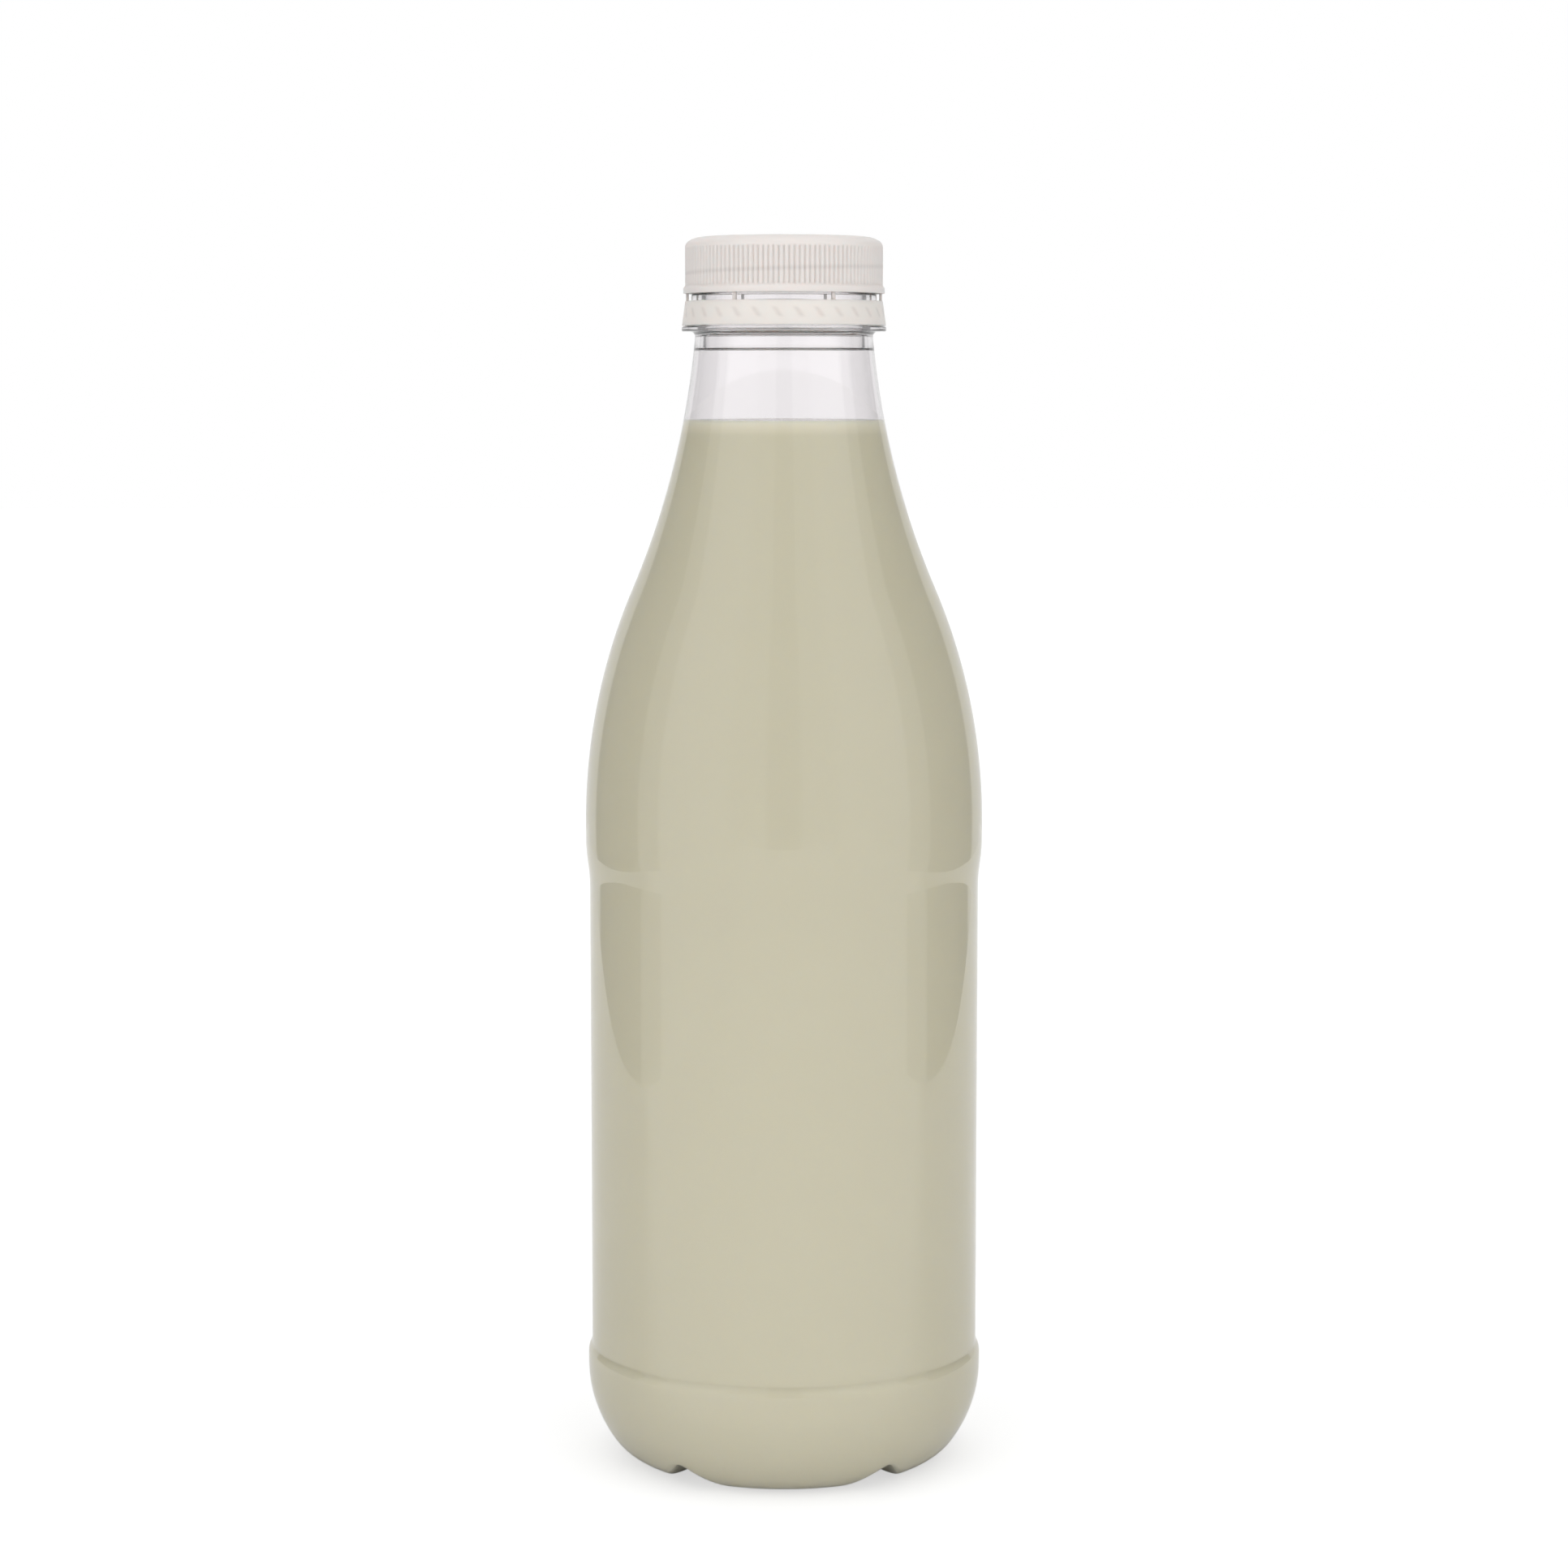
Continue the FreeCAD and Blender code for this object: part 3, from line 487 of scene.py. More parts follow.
def thread_tree():
    """Raises a screw thread where the mark named thread isn't 0: outwards for 1, inwards for -1.

    The thread climbs by its pitch in each turn, and fades in and out at its ends.
    """
    tree, given = new_tree("Screw thread", {
        "Start": "NodeSocketFloat", "Pitch": "NodeSocketFloat", "Turns": "NodeSocketFloat",
        "Reach": "NodeSocketFloat", "Width": "NodeSocketFloat", "Material": "NodeSocketMaterial"})
    place = add(tree, "ShaderNodeSeparateXYZ", {0: add(tree, "GeometryNodeInputPosition")})
    x, y, z = place.outputs
    mark = add(tree, "GeometryNodeInputNamedAttribute", {"Name": "thread"}, data_type="FLOAT")
    turn = add(tree, "ShaderNodeMath", {0: x, 1: y}, operation="ARCTAN2")
    share = add(tree, "ShaderNodeMath", {0: turn, 1: -1 / tau, 2: 0.5},
                operation="MULTIPLY_ADD")

    # How many turns of the thread a point lies above its start, and beside the nearest one.
    off = z
    for operation, by in (("SUBTRACT", given["Start"]), ("DIVIDE", given["Pitch"]),
                          ("SUBTRACT", share)):
        off = add(tree, "ShaderNodeMath", {0: off, 1: by}, operation=operation)
    which = add(tree, "ShaderNodeMath", {0: off}, operation="ROUND")
    beside = add(tree, "ShaderNodeMath", {0: off, 1: which}, operation="SUBTRACT")
    away = add(tree, "ShaderNodeMath", {0: beside, 1: given["Pitch"]}, operation="MULTIPLY")
    distance = add(tree, "ShaderNodeMath", {0: away}, operation="ABSOLUTE")
    half_width = add(tree, "ShaderNodeMath", {0: given["Width"], 1: 0.5}, operation="MULTIPLY")
    crest = add(tree, "ShaderNodeMapRange",
                {"Value": distance, "From Min": half_width, "From Max": 0.0,
                 "To Min": 0.0, "To Max": given["Reach"]}, interpolation_type="SMOOTHSTEP")
    along = add(tree, "ShaderNodeMath", {0: which, 1: share}, operation="ADD")
    left = add(tree, "ShaderNodeMath", {0: given["Turns"], 1: along}, operation="SUBTRACT")
    signed = add(tree, "ShaderNodeMath", {0: crest, 1: mark}, operation="MULTIPLY")
    for run in (along, left):
        faded = add(tree, "ShaderNodeMapRange",
                    {"Value": run, "From Min": 0.0, "From Max": THREAD_FADE},
                    interpolation_type="SMOOTHSTEP")
        signed = add(tree, "ShaderNodeMath", {0: signed, 1: faded}, operation="MULTIPLY")
    flat = add(tree, "ShaderNodeCombineXYZ", {0: x, 1: y})
    outwards = add(tree, "ShaderNodeVectorMath", {0: flat}, operation="NORMALIZE")
    offset = add(tree, "ShaderNodeVectorMath", {0: outwards, "Scale": signed}, operation="SCALE")
    placed = add(tree, "GeometryNodeSetPosition", {0: given["Geometry"], "Offset": offset})
    finish_tree(tree, placed, given["Material"])
    return tree


def ring_tree():
    """Sets copies of one shape evenly round the upright axis and joins them to the geometry."""
    tree, given = new_tree("Ring of copies", {
        "Copy": "NodeSocketObject", "Count": "NodeSocketInt", "First": "NodeSocketFloat",
        "Weld": "NodeSocketFloat", "Material": "NodeSocketMaterial"})
    shape = add(tree, "GeometryNodeObjectInfo", {"Object": given["Copy"]})
    points = add(tree, "GeometryNodePoints", {"Count": given["Count"]})
    sector = add(tree, "ShaderNodeMath", {0: tau, 1: given["Count"]}, operation="DIVIDE")
    index = add(tree, "GeometryNodeInputIndex")
    turn = add(tree, "ShaderNodeMath", {0: index, 1: sector, 2: given["First"]},
               operation="MULTIPLY_ADD")
    rotation = add(tree, "ShaderNodeCombineXYZ", {2: turn})
    copies = add(tree, "GeometryNodeInstanceOnPoints",
                 {"Points": points, "Instance": shape.outputs["Geometry"], "Rotation": rotation})
    real = add(tree, "GeometryNodeRealizeInstances", {0: copies})
    joined = add(tree, "GeometryNodeJoinGeometry", {0: real})
    tree.links.new(given["Geometry"], joined.inputs[0])
    welded = add(tree, "GeometryNodeMergeByDistance", {0: joined, "Distance": given["Weld"]})
    finish_tree(tree, welded, given["Material"])
    return tree


# ---- materials -------------------------------------------------------------------------------

def new_material(name):
    """An empty material and its node tree."""
    material = bpy.data.materials.new(name)
    material.use_nodes = True
    material.node_tree.nodes.clear()
    return material, material.node_tree


def pet_material(finishes):
    """Clear stretch-blown PET: glassy and faintly grey, with a slow waviness from blowing.

    The waves are too shallow to see in outline, but they bend the long reflections a little.
    """
    material, tree = new_material("clear_stretch_blown_PET")
    coords = add(tree, "ShaderNodeTexCoord").outputs["Object"]
    waves = add(tree, "ShaderNodeTexNoise",
                {"Vector": coords, "Scale": 1 / (28 * MM), "Detail": 1.5, "Roughness": 0.4})
    haze = add(tree, "ShaderNodeTexNoise",
               {"Vector": coords, "Scale": 1 / (6 * MM), "Detail": 2.0})
    roughness = add(tree, "ShaderNodeMapRange",
                    {"Value": haze, "From Min": 0.3, "From Max": 0.7,
                     "To Min": 0.015, "To Max": 0.035})
    bump = add(tree, "ShaderNodeBump",
               {"Height": waves, "Strength": 0.3, "Distance": 0.15 * MM})
    shader = add(tree, "ShaderNodeBsdfPrincipled", {
        "Base Color": finishes.pet, "Roughness": roughness, "IOR": 1.5,
        "Transmission Weight": 1.0, "Normal": bump})
    add(tree, "ShaderNodeOutputMaterial", {"Surface": shader})
    return material


def milk_material(finishes, milk):
    """Fresh whole milk: opaque, creamy, and soft because light runs some way into it.

    Its top is painted paler: painted light, for the light that also comes in through the surface.
    """
    material, tree = new_material("fresh_whole_milk")
    coords = add(tree, "ShaderNodeTexCoord").outputs["Object"]
    height = add(tree, "ShaderNodeSeparateXYZ", {0: coords}).outputs["Z"]
    # Painted light: the colour turns paler towards the level, for light that comes in through the
    # top surface.
    paler = add(tree, "ShaderNodeMapRange",
                {"Value": height, "From Min": milk.level - milk.painted_light_depth, "From Max": milk.level,
                 "To Min": 0.0, "To Max": 1.0})
    mixed = add(tree, "ShaderNodeMix",
                {"Factor": paler, "A": finishes.milk, "B": finishes.milk_light},
                data_type="RGBA")
    shader = add(tree, "ShaderNodeBsdfPrincipled", {
        "Base Color": mixed.outputs["Result"], "Roughness": 0.06, "IOR": 1.35,
        "Specular IOR Level": 0.3,
        "Subsurface Weight": 1.0, "Subsurface Radius": (1.0, 0.95, 0.85),
        "Subsurface Scale": 0.4 * MM})
    add(tree, "ShaderNodeOutputMaterial", {"Surface": shader})
    return material


def stripes(tree, along, pitch, width):
    """Soft lines that repeat by a pitch, 1 along the middle of each and 0 between them."""
    in_pitches = add(tree, "ShaderNodeMath", {0: along, 1: pitch}, operation="DIVIDE")
    nearest = add(tree, "ShaderNodeMath", {0: in_pitches}, operation="ROUND")
    off = add(tree, "ShaderNodeMath", {0: in_pitches, 1: nearest}, operation="SUBTRACT")
    aside = add(tree, "ShaderNodeMath", {0: off}, operation="ABSOLUTE")
    return add(tree, "ShaderNodeMapRange",
               {"Value": aside, "From Min": width / 2 / pitch, "From Max": 0.0},
               interpolation_type="SMOOTHSTEP")


def between(tree, height, low, high, soft=0.3 * MM):
    """1 between two heights and 0 outside them, with soft ends."""
    over = add(tree, "ShaderNodeMapRange",
               {"Value": height, "From Min": low - soft, "From Max": low + soft})
    under = add(tree, "ShaderNodeMapRange",
                {"Value": height, "From Min": high + soft, "From Max": high - soft})
    return add(tree, "ShaderNodeMath", {0: over, 1: under}, operation="MULTIPLY")


def hdpe_material(scene):
    """Natural moulded HDPE: milky and waxy, so that light passes thin walls, with a soft sheen.

    The thin tamper band is painted paler and warmer: painted light, for light from behind through
    its thin walls. The flaps behind it and the neck's thread behind the skirt are painted as faint
    darker strokes: painted shade, for what shows through.
    """
    finishes, closure, bottle = scene.finishes, scene.closure_sizes, scene.bottle_sizes
    at = closure_heights(closure, bottle)
    material, tree = new_material(HDPE)
    coords = add(tree, "ShaderNodeTexCoord").outputs["Object"]
    x, y, z = add(tree, "ShaderNodeSeparateXYZ", {0: coords}).outputs
    turn = add(tree, "ShaderNodeMath", {0: y, 1: x}, operation="ARCTAN2")

    # Painted shade: a flap's stroke leans with the flap, and is a little shorter than it.
    band_radius = skirt_radius(closure, bottle)
    slant = closure.flap_lean / (at.flap_tip - at.flap_root)
    shift = slant * at.flap_root + closure.flap_first * band_radius
    leaning = add(tree, "ShaderNodeMath", {0: z, 1: slant, 2: -shift}, operation="MULTIPLY_ADD")
    along = add(tree, "ShaderNodeMath", {0: turn, 1: band_radius, 2: leaning},
                operation="MULTIPLY_ADD")
    strokes = stripes(tree, along, tau / closure.flaps * band_radius, closure.flap_shade_width)
    shorter = 0.4 * MM
    flap_part = between(tree, z, at.flap_root + shorter, at.flap_tip - shorter)
    flaps = add(tree, "ShaderNodeMath", {0: strokes, 1: flap_part}, operation="MULTIPLY")

    # Painted shade: the thread's line climbs round the neck, and shows over the height of one turn.
    start = bottle_heights(bottle).thread_start
    rise = add(tree, "ShaderNodeMath", {0: turn, 1: -bottle.thread_pitch / tau, 2: -start},
               operation="MULTIPLY_ADD")
    climb = add(tree, "ShaderNodeMath", {0: z, 1: rise}, operation="ADD")
    lines = stripes(tree, climb, bottle.thread_pitch, bottle.thread_width)
    line_low = start + 1.2 * MM
    thread_part = between(tree, z, line_low, line_low + bottle.thread_pitch)
    thread = add(tree, "ShaderNodeMath", {0: lines, 1: thread_part}, operation="MULTIPLY")
    marks = add(tree, "ShaderNodeMath", {0: flaps, 1: thread}, operation="ADD")

    # Painted light: below the slit the colour turns to the paler, warmer band colour, for light from
    # behind through the band's thin walls.
    thin = add(tree, "ShaderNodeMapRange",
               {"Value": z, "From Min": at.skirt_bottom, "From Max": at.band_top})
    plain = add(tree, "ShaderNodeMix",
                {"Factor": thin, "A": finishes.hdpe, "B": finishes.hdpe_painted_backlight},
                data_type="RGBA").outputs["Result"]
    # Painted shade: the strokes pull the colour towards the shade colour.
    faint = add(tree, "ShaderNodeMath", {0: marks, 1: closure.painted_shade_strength},
                operation="MULTIPLY")
    marked = add(tree, "ShaderNodeMix",
                 {"Factor": faint, "A": plain, "B": finishes.hdpe_shade}, data_type="RGBA")
    grain = add(tree, "ShaderNodeTexNoise",
                {"Vector": coords, "Scale": 1 / (0.6 * MM), "Detail": 2.0})
    roughness = add(tree, "ShaderNodeMapRange",
                    {"Value": grain, "From Min": 0.3, "From Max": 0.7,
                     "To Min": 0.42, "To Max": 0.52})
    bump = add(tree, "ShaderNodeBump",
               {"Height": grain, "Strength": 0.15, "Distance": 0.05 * MM})
    shader = add(tree, "ShaderNodeBsdfPrincipled", {
        "Base Color": marked.outputs["Result"], "Roughness": roughness, "IOR": 1.54,
        "Transmission Weight": 0.28, "Subsurface Weight": 1.0,
        "Subsurface Radius": (0.85, 1.0, 1.05), "Subsurface Scale": 2.0 * MM, "Normal": bump})
    add(tree, "ShaderNodeOutputMaterial", {"Surface": shader})
    return material


# ---- bottle and milk -------------------------------------------------------------------------

def bottle_heights(bottle):
    """Heights that the bottle's shapes share."""
    at = SimpleNamespace()
    at.heel_top = bottle.heel_height + bottle.heel_band
    at.panel_bottom = at.heel_top + bottle.heel_step
    at.panel_top = at.panel_bottom + bottle.panel_height
    at.bulge_bottom = at.panel_top + bottle.bulge_step
    at.bulge_top = at.bulge_bottom + bottle.bulge_band
    at.ring_bottom = at.bulge_top + bottle.shoulder_height
    at.ring_top = at.ring_bottom + bottle.ring_thickness
    at.bead_bottom = at.ring_top + bottle.bead_gap
    at.bead_top = at.bead_bottom + bottle.bead_height
    at.thread_start = at.ring_bottom + bottle.thread_start
    at.neck_top = at.ring_bottom + bottle.finish_height
    return at


def blown_wall(bottle, inset):
    """The blown wall, some way inside its outer face, from the dome to the hollow shoulder.

    Its outline comes with the end and the radius of the curve that carries it on to the neck.
    """
    at = bottle_heights(bottle)
    foot_radius = bottle.body_radius - bottle.foot_inset
    land_radius = foot_radius - bottle.foot_land
    dome, curl = bottle.dome_height, bottle.foot_inner_curve
    dome_radius = (land_radius ** 2 + dome ** 2 - 2 * curl * dome) / (2 * dome)
    outline = Outline(0.0, dome + inset, longest=FINE)
    outline.arc(land_radius * (dome_radius + inset) / (dome_radius + curl),
                inset + (curl - inset) * dome / (dome_radius + curl), dome_radius + inset, RIGHT)
    outline.arc(land_radius, inset, curl - inset, LEFT)
    outline.line(foot_radius, inset, FINE)

    second, ahead, aside = corner_bend(bottle.foot_inset, bottle.heel_height, bottle.foot_curve)
    side = second - inset
    outline.arc(bottle.body_radius - second + side * ahead,
                bottle.heel_height - side * aside, bottle.foot_curve - inset, LEFT)
    widest = bottle.body_radius - inset
    panel = widest - bottle.panel_inset
    outline.arc(widest, bottle.heel_height, side, LEFT)
    outline.longest = COARSE
    outline.line(widest, at.heel_top)
    outline.step(panel, at.panel_bottom, bottle.heel_turn, LEFT)
    outline.line(panel, at.panel_top)
    outline.step(widest, at.bulge_bottom, bottle.bulge_turn, RIGHT)
    outline.line(widest, at.bulge_top)
    upright = (bottle.finish_radius + bottle.neck_flare - inset,
               at.ring_bottom + bottle.neck_run)
    joint, first, hollow = step_bend((widest, at.bulge_top), upright, bottle.shoulder_turn)
    outline.arc(*joint, first, LEFT)
    return outline, upright, hollow


def hollow_reach(upright, radius, height):
    """How far out the shoulder's hollow curve lies at a height."""
    return upright[0] + radius - sqrt(radius ** 2 - (upright[1] - height) ** 2)


def thread_marks(before, threaded, after, mark):
    """A mark on the inner points of a threaded stretch, and 0 before, after and at its ends."""
    inner = len(threaded.points) - 3
    return [0.0] * (before + 1) + [mark] * inner + [0.0] * (after + 1)


def bottle_outline(bottle):
    """The closed bottle, up its outside and back down its inside, with its marks."""
    at = bottle_heights(bottle)
    outside, upright, hollow = blown_wall(bottle, 0.0)
    start = at.ring_bottom - bottle.ring_fillet
    neck = hollow_reach(upright, hollow, start)
    outside.arc(neck, start, hollow, RIGHT)
    ring = bottle.finish_radius + bottle.ring_reach
    edge = bottle.ring_edge
    outside.arc(neck + bottle.ring_fillet, at.ring_bottom, bottle.ring_fillet, RIGHT)
    outside.line(ring - edge, at.ring_bottom).arc(ring, at.ring_bottom + edge, edge, LEFT)
    outside.line(ring, at.ring_top - edge).arc(ring - edge, at.ring_top, edge, LEFT)

    finish, bead = bottle.finish_radius, bottle.finish_radius + bottle.bead_reach
    bevel, rim_bevel = bottle.bead_bevel, bottle.rim_bevel
    bore = finish - bottle.finish_wall
    thick = at.ring_bottom - bottle.blend_top
    beaded = soften([outside.points[-1], (finish, at.ring_top), (finish, at.bead_bottom),
                     (bead, at.bead_bottom), (bead, at.bead_top - bevel),
                     (bead - bevel, at.bead_top), (finish, at.bead_top),
                     (finish, at.bead_top + bottle.plain_below)], bottle.edge)
    threaded = Outline(*beaded[-1])
    threaded.line(finish, at.neck_top - rim_bevel - bottle.plain_above, bottle.thread_face)
    rim = soften([threaded.points[-1], (finish, at.neck_top - rim_bevel),
                  (finish - rim_bevel, at.neck_top), (bore, at.neck_top), (bore, thick)],
                 bottle.edge)

    inside, upright, hollow = blown_wall(bottle, bottle.wall)
    thin = thick - bottle.blend_height
    inside.arc(hollow_reach(upright, hollow, thin), thin, hollow, RIGHT)
    inside.step(bore, thick, bottle.blend_height / 2, LEFT)

    lower = [*outside.points[:-1], *beaded[:-1]]
    outer = [*lower, *threaded.points[:-1], *rim[:-1]]
    inner = inside.points[::-1]
    marks = {"depth": [0.0] * len(outer) + [bottle.wall] * len(inner),
             "thread": thread_marks(len(lower), threaded, len(rim) - 1 + len(inner), 1.0)}
    return [*outer, *inner], marks


def milk_outline(bottle, milk):
    """The milk, from the dome up the wall to its level, and over its dished surface."""
    outline, upright, hollow = blown_wall(bottle, bottle.wall - milk.bite)
    reach = hollow_reach(upright, hollow, milk.level)
    dip, width = milk.meniscus, milk.meniscus_width
    outline.arc(reach, milk.level, hollow, RIGHT)
    outline.arc(reach - width, milk.level - dip, (width ** 2 + dip ** 2) / (2 * dip), RIGHT)
    outline.line(0.0, milk.level - dip)
    return outline.points


def new_piece(mesh):
    """Put a mesh in the scene as a piece of the same name."""
    piece = bpy.data.objects.new(mesh.name, mesh)
    bpy.context.scene.collection.objects.link(piece)
    return piece


def finish_piece(piece, slot, *nodes, sharp=radians(38)):
    """Smooth a piece, keep its sharp edges, hang it on the root, and hide the CAD parts that it
    stands for.
    """
    piece.data.shade_smooth()
    piece.data.set_sharp_from_angle(angle=sharp)
    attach(piece, "root")
    if nodes:
        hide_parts(*nodes)


def shared_tree(name, make):
    """A node tree that several pieces use, made once."""
    return bpy.data.node_groups.get(name) or make()


def press_grooves(piece, bottle, material):
    """Press the grooves of the base into a turned piece."""
    run_tree(piece, shared_tree("Base grooves", grooves_tree), count=bottle.grooves,
             height=bottle.groove_height, round=bottle.groove_round, slope=bottle.groove_slope,
             lip=bottle.groove_lip, first=pi / 2, material=material)


def raise_thread(piece, bottle, material, start, reach):
    """Raise the screw thread where a piece is marked for it."""
    run_tree(piece, shared_tree("Screw thread", thread_tree), start=start,
             pitch=bottle.thread_pitch, turns=bottle.thread_turns, reach=reach,
             width=bottle.thread_width, material=material)


class MESH_OT_blown_bottle(bpy.types.Operator):
    """Make the clear bottle, with its feet, panel, shoulder and threaded neck"""
    bl_idname = "mesh.blown_bottle"
    bl_label = "Blown bottle"

    def execute(self, context):
        scene = context.scene
        bottle = scene.bottle_sizes
        points, marks = bottle_outline(bottle)
        piece = new_piece(turned_mesh("bottle_shell", points, even_angles(bottle.segments), marks))
        material = pet_material(scene.finishes)
        press_grooves(piece, bottle, material)
        raise_thread(piece, bottle, material, bottle_heights(bottle).thread_start,
                     bottle.thread_reach)
        finish_piece(piece, "pet", "bottle")
        return {"FINISHED"}


class MESH_OT_milk_filling(bpy.types.Operator):
    """Make the milk that fills the bottle to its level"""
    bl_idname = "mesh.milk_filling"
    bl_label = "Milk"

    def execute(self, context):
        scene = context.scene
        bottle, milk = scene.bottle_sizes, scene.milk_sizes
        points = milk_outline(bottle, milk)
        marks = {"depth": [bottle.wall - milk.bite] * len(points)}
        piece = new_piece(turned_mesh("milk_filling", points, even_angles(bottle.segments), marks))
        press_grooves(piece, bottle, milk_material(scene.finishes, milk))
        finish_piece(piece, "milk", "milk")
        return {"FINISHED"}


# ---- closure ---------------------------------------------------------------------------------

def closure_heights(closure, bottle):
    """Heights that the closure's shapes share."""
    neck = bottle_heights(bottle)
    at = SimpleNamespace()
    at.underside = closure.top - closure.disc_thickness + closure.seat_gap
    at.plug_bottom = closure.top - closure.disc_thickness - closure.plug_depth
    at.crown_bottom = closure.top - closure.crown_height
    at.band_bottom = closure.foot
    at.band_top = at.band_bottom + closure.band_height
    at.skirt_bottom = at.band_top + closure.slit
    at.rim_top = at.skirt_bottom + closure.rim_height
    at.rib_bottom = at.rim_top + closure.rim_slope
    at.flap_root = at.band_bottom + closure.flap_start
    at.flap_tip = neck.bead_bottom - closure.flap_gap
    return at


def skirt_radius(closure, bottle):
    """Outside of the skirt between its ribs."""
    return bottle.finish_radius + closure.thread_room + closure.skirt_wall


def band_radii(closure, bottle):
    """Inside and outside of the tamper band at its top; its outside is the ribs' crests."""
    outside = skirt_radius(closure, bottle) + closure.rib_depth
    return outside - closure.band_wall, outside


def rib_shares(closure, rib_radius):
    """Where a rib's corners lie in its share of the turn, from one groove's middle to the next."""
    pitch = tau * rib_radius / closure.ribs
    root, mouth = closure.rib_root / 2 / pitch, closure.rib_mouth / 2 / pitch
    return [0.0, root, mouth, 0.5, 1 - mouth, 1 - root]


def cap_skin(closure, bottle, rib_radius):
    """Outlines of the cap above its ribs and below them, through its inside to the axis."""
    at = closure_heights(closure, bottle)
    second, ahead, aside = corner_bend(closure.crown_height, closure.crown_reach,
                                       closure.corner_curve)
    crown_edge = rib_radius - closure.crown_reach
    arc_part, ring_width = 0.6 * MM, 4.0 * MM
    top = Outline(rib_radius, at.crown_bottom, longest=arc_part)
    top.arc(crown_edge + second * aside, closure.top - second + second * ahead,
            closure.corner_curve, LEFT)
    top.arc(crown_edge, closure.top, second, LEFT)
    top.line(0.0, closure.top, ring_width)

    skirt_inside = bottle.finish_radius + closure.thread_room
    plug_outside = bottle.finish_radius - bottle.finish_wall - closure.plug_gap
    plug_inside = plug_outside - closure.plug_wall
    rim = rib_radius + closure.rim_reach
    lower = soften([(0.0, at.underside), (plug_inside, at.underside),
                    (plug_inside, at.plug_bottom), (plug_outside, at.plug_bottom),
                    (plug_outside, at.underside), (skirt_inside, at.underside),
                    (skirt_inside, at.underside - closure.plain_above)], closure.edge)
    threaded = Outline(*lower[-1])
    threaded.line(skirt_inside, at.skirt_bottom + closure.plain_below, closure.thread_face)
    foot = soften([threaded.points[-1], (skirt_inside, at.skirt_bottom), (rim, at.skirt_bottom),
                   (rim, at.rim_top), (rib_radius, at.rib_bottom)], closure.edge)
    inside = [*lower[:-1], *threaded.points[:-1], *foot]
    marks = {"thread": thread_marks(len(lower) - 1, threaded, len(foot), -1.0)}
    return top.points, inside, marks


def rib_wedge(closure, at, rib_radius):
    """One rib's share of the skirt: a crest between two half grooves, run out at both ends."""
    root_radius = rib_radius - closure.rib_depth
    shares = [*rib_shares(closure, rib_radius), 1.0]
    in_groove = [share in (shares[0], shares[1], shares[-2], shares[-1]) for share in shares]
    rows = [(at.rib_bottom, False), (at.rib_bottom + closure.rib_runout, True),
            (at.crown_bottom - closure.rib_runout, True), (at.crown_bottom, False)]
    places = []
    for height, cut in rows:
        for share, low in zip(shares, in_groove):
            reach = root_radius if cut and low else rib_radius
            turn = tau / closure.ribs * share
            places.append((reach * cos(turn), reach * sin(turn), height))
    wide = len(shares)
    faces = [(row * wide + i, row * wide + i + 1, (row + 1) * wide + i + 1, (row + 1) * wide + i)
             for row in range(len(rows) - 1) for i in range(wide - 1)]
    mesh = bpy.data.meshes.new("rib")
    mesh.from_pydata(places, [], faces)
    return mesh


def joined_mesh(name, meshes):
    """Several meshes as one."""
    built = bmesh.new()
    for mesh in meshes:
        built.from_mesh(mesh)
        bpy.data.meshes.remove(mesh)
    made = bpy.data.meshes.new(name)
    built.to_mesh(made)
    built.free()
    return made


def block_mesh(name, low, high, edge):
    """A bevelled slab between two oblongs, each given as (height, inside, wall, aside, width)."""
    built = bmesh.new()
    corners = []
    for height, inside, wall, aside, width in (low, high):
        left, right = aside - width / 2, aside + width / 2
        corners += [(inside, left, height), (inside + wall, left, height),
                    (inside + wall, right, height), (inside, right, height)]
    made = [built.verts.new(corner) for corner in corners]
    for ring in ((3, 2, 1, 0), (4, 5, 6, 7), (0, 1, 5, 4), (1, 2, 6, 5), (2, 3, 7, 6), (3, 0, 4, 7)):
        built.faces.new([made[i] for i in ring])
    bmesh.ops.bevel(built, geom=list(built.edges), offset=edge, segments=2, profile=0.5,
                    affect="EDGES")
    bmesh.ops.recalc_face_normals(built, faces=built.faces)
    mesh = bpy.data.meshes.new(name)
    built.to_mesh(mesh)
    built.free()
    return mesh


def set_round(piece, mesh, number, first, material):
    """Join copies of a mesh to a piece, evenly round the axis."""
    shape = bpy.data.objects.new("copied_shape", mesh)
    bpy.context.scene.collection.objects.link(shape)
    bpy.context.view_layer.update()
    run_tree(piece, shared_tree("Ring of copies", ring_tree), copy=shape, count=number,
             first=first, weld=WELD, material=material)
    bpy.data.objects.remove(shape)
    bpy.data.meshes.remove(mesh)


def closure_finish(scene):
    """The closure's material, made once for its pieces."""
    return bpy.data.materials.get(HDPE) or hdpe_material(scene)


class MESH_OT_ribbed_cap(bpy.types.Operator):
    """Make the cap: top plate, ribbed skirt, lower rim, inner thread and sealing plug"""
    bl_idname = "mesh.ribbed_cap"
    bl_label = "Ribbed cap"

    def execute(self, context):
        scene = context.scene
        closure, bottle = scene.closure_sizes, scene.bottle_sizes
        at = closure_heights(closure, bottle)
        rib_radius = skirt_radius(closure, bottle) + closure.rib_depth
        angles = [tau * (rib + share) / closure.ribs
                  for rib in range(closure.ribs) for share in rib_shares(closure, rib_radius)]
        top, inside, marks = cap_skin(closure, bottle, rib_radius)
        piece = new_piece(joined_mesh("cap", [
            turned_mesh("top", top, angles, {"thread": [0.0] * len(top)}),
            turned_mesh("inside", inside, angles, marks)]))
        material = closure_finish(scene)
        set_round(piece, rib_wedge(closure, at, rib_radius), closure.ribs, 0.0, material)
        start = bottle_heights(bottle).thread_start - bottle.thread_pitch / 2
        raise_thread(piece, bottle, material, start, closure.thread_reach)
        finish_piece(piece, "hdpe", "closure", sharp=radians(65))
        return {"FINISHED"}


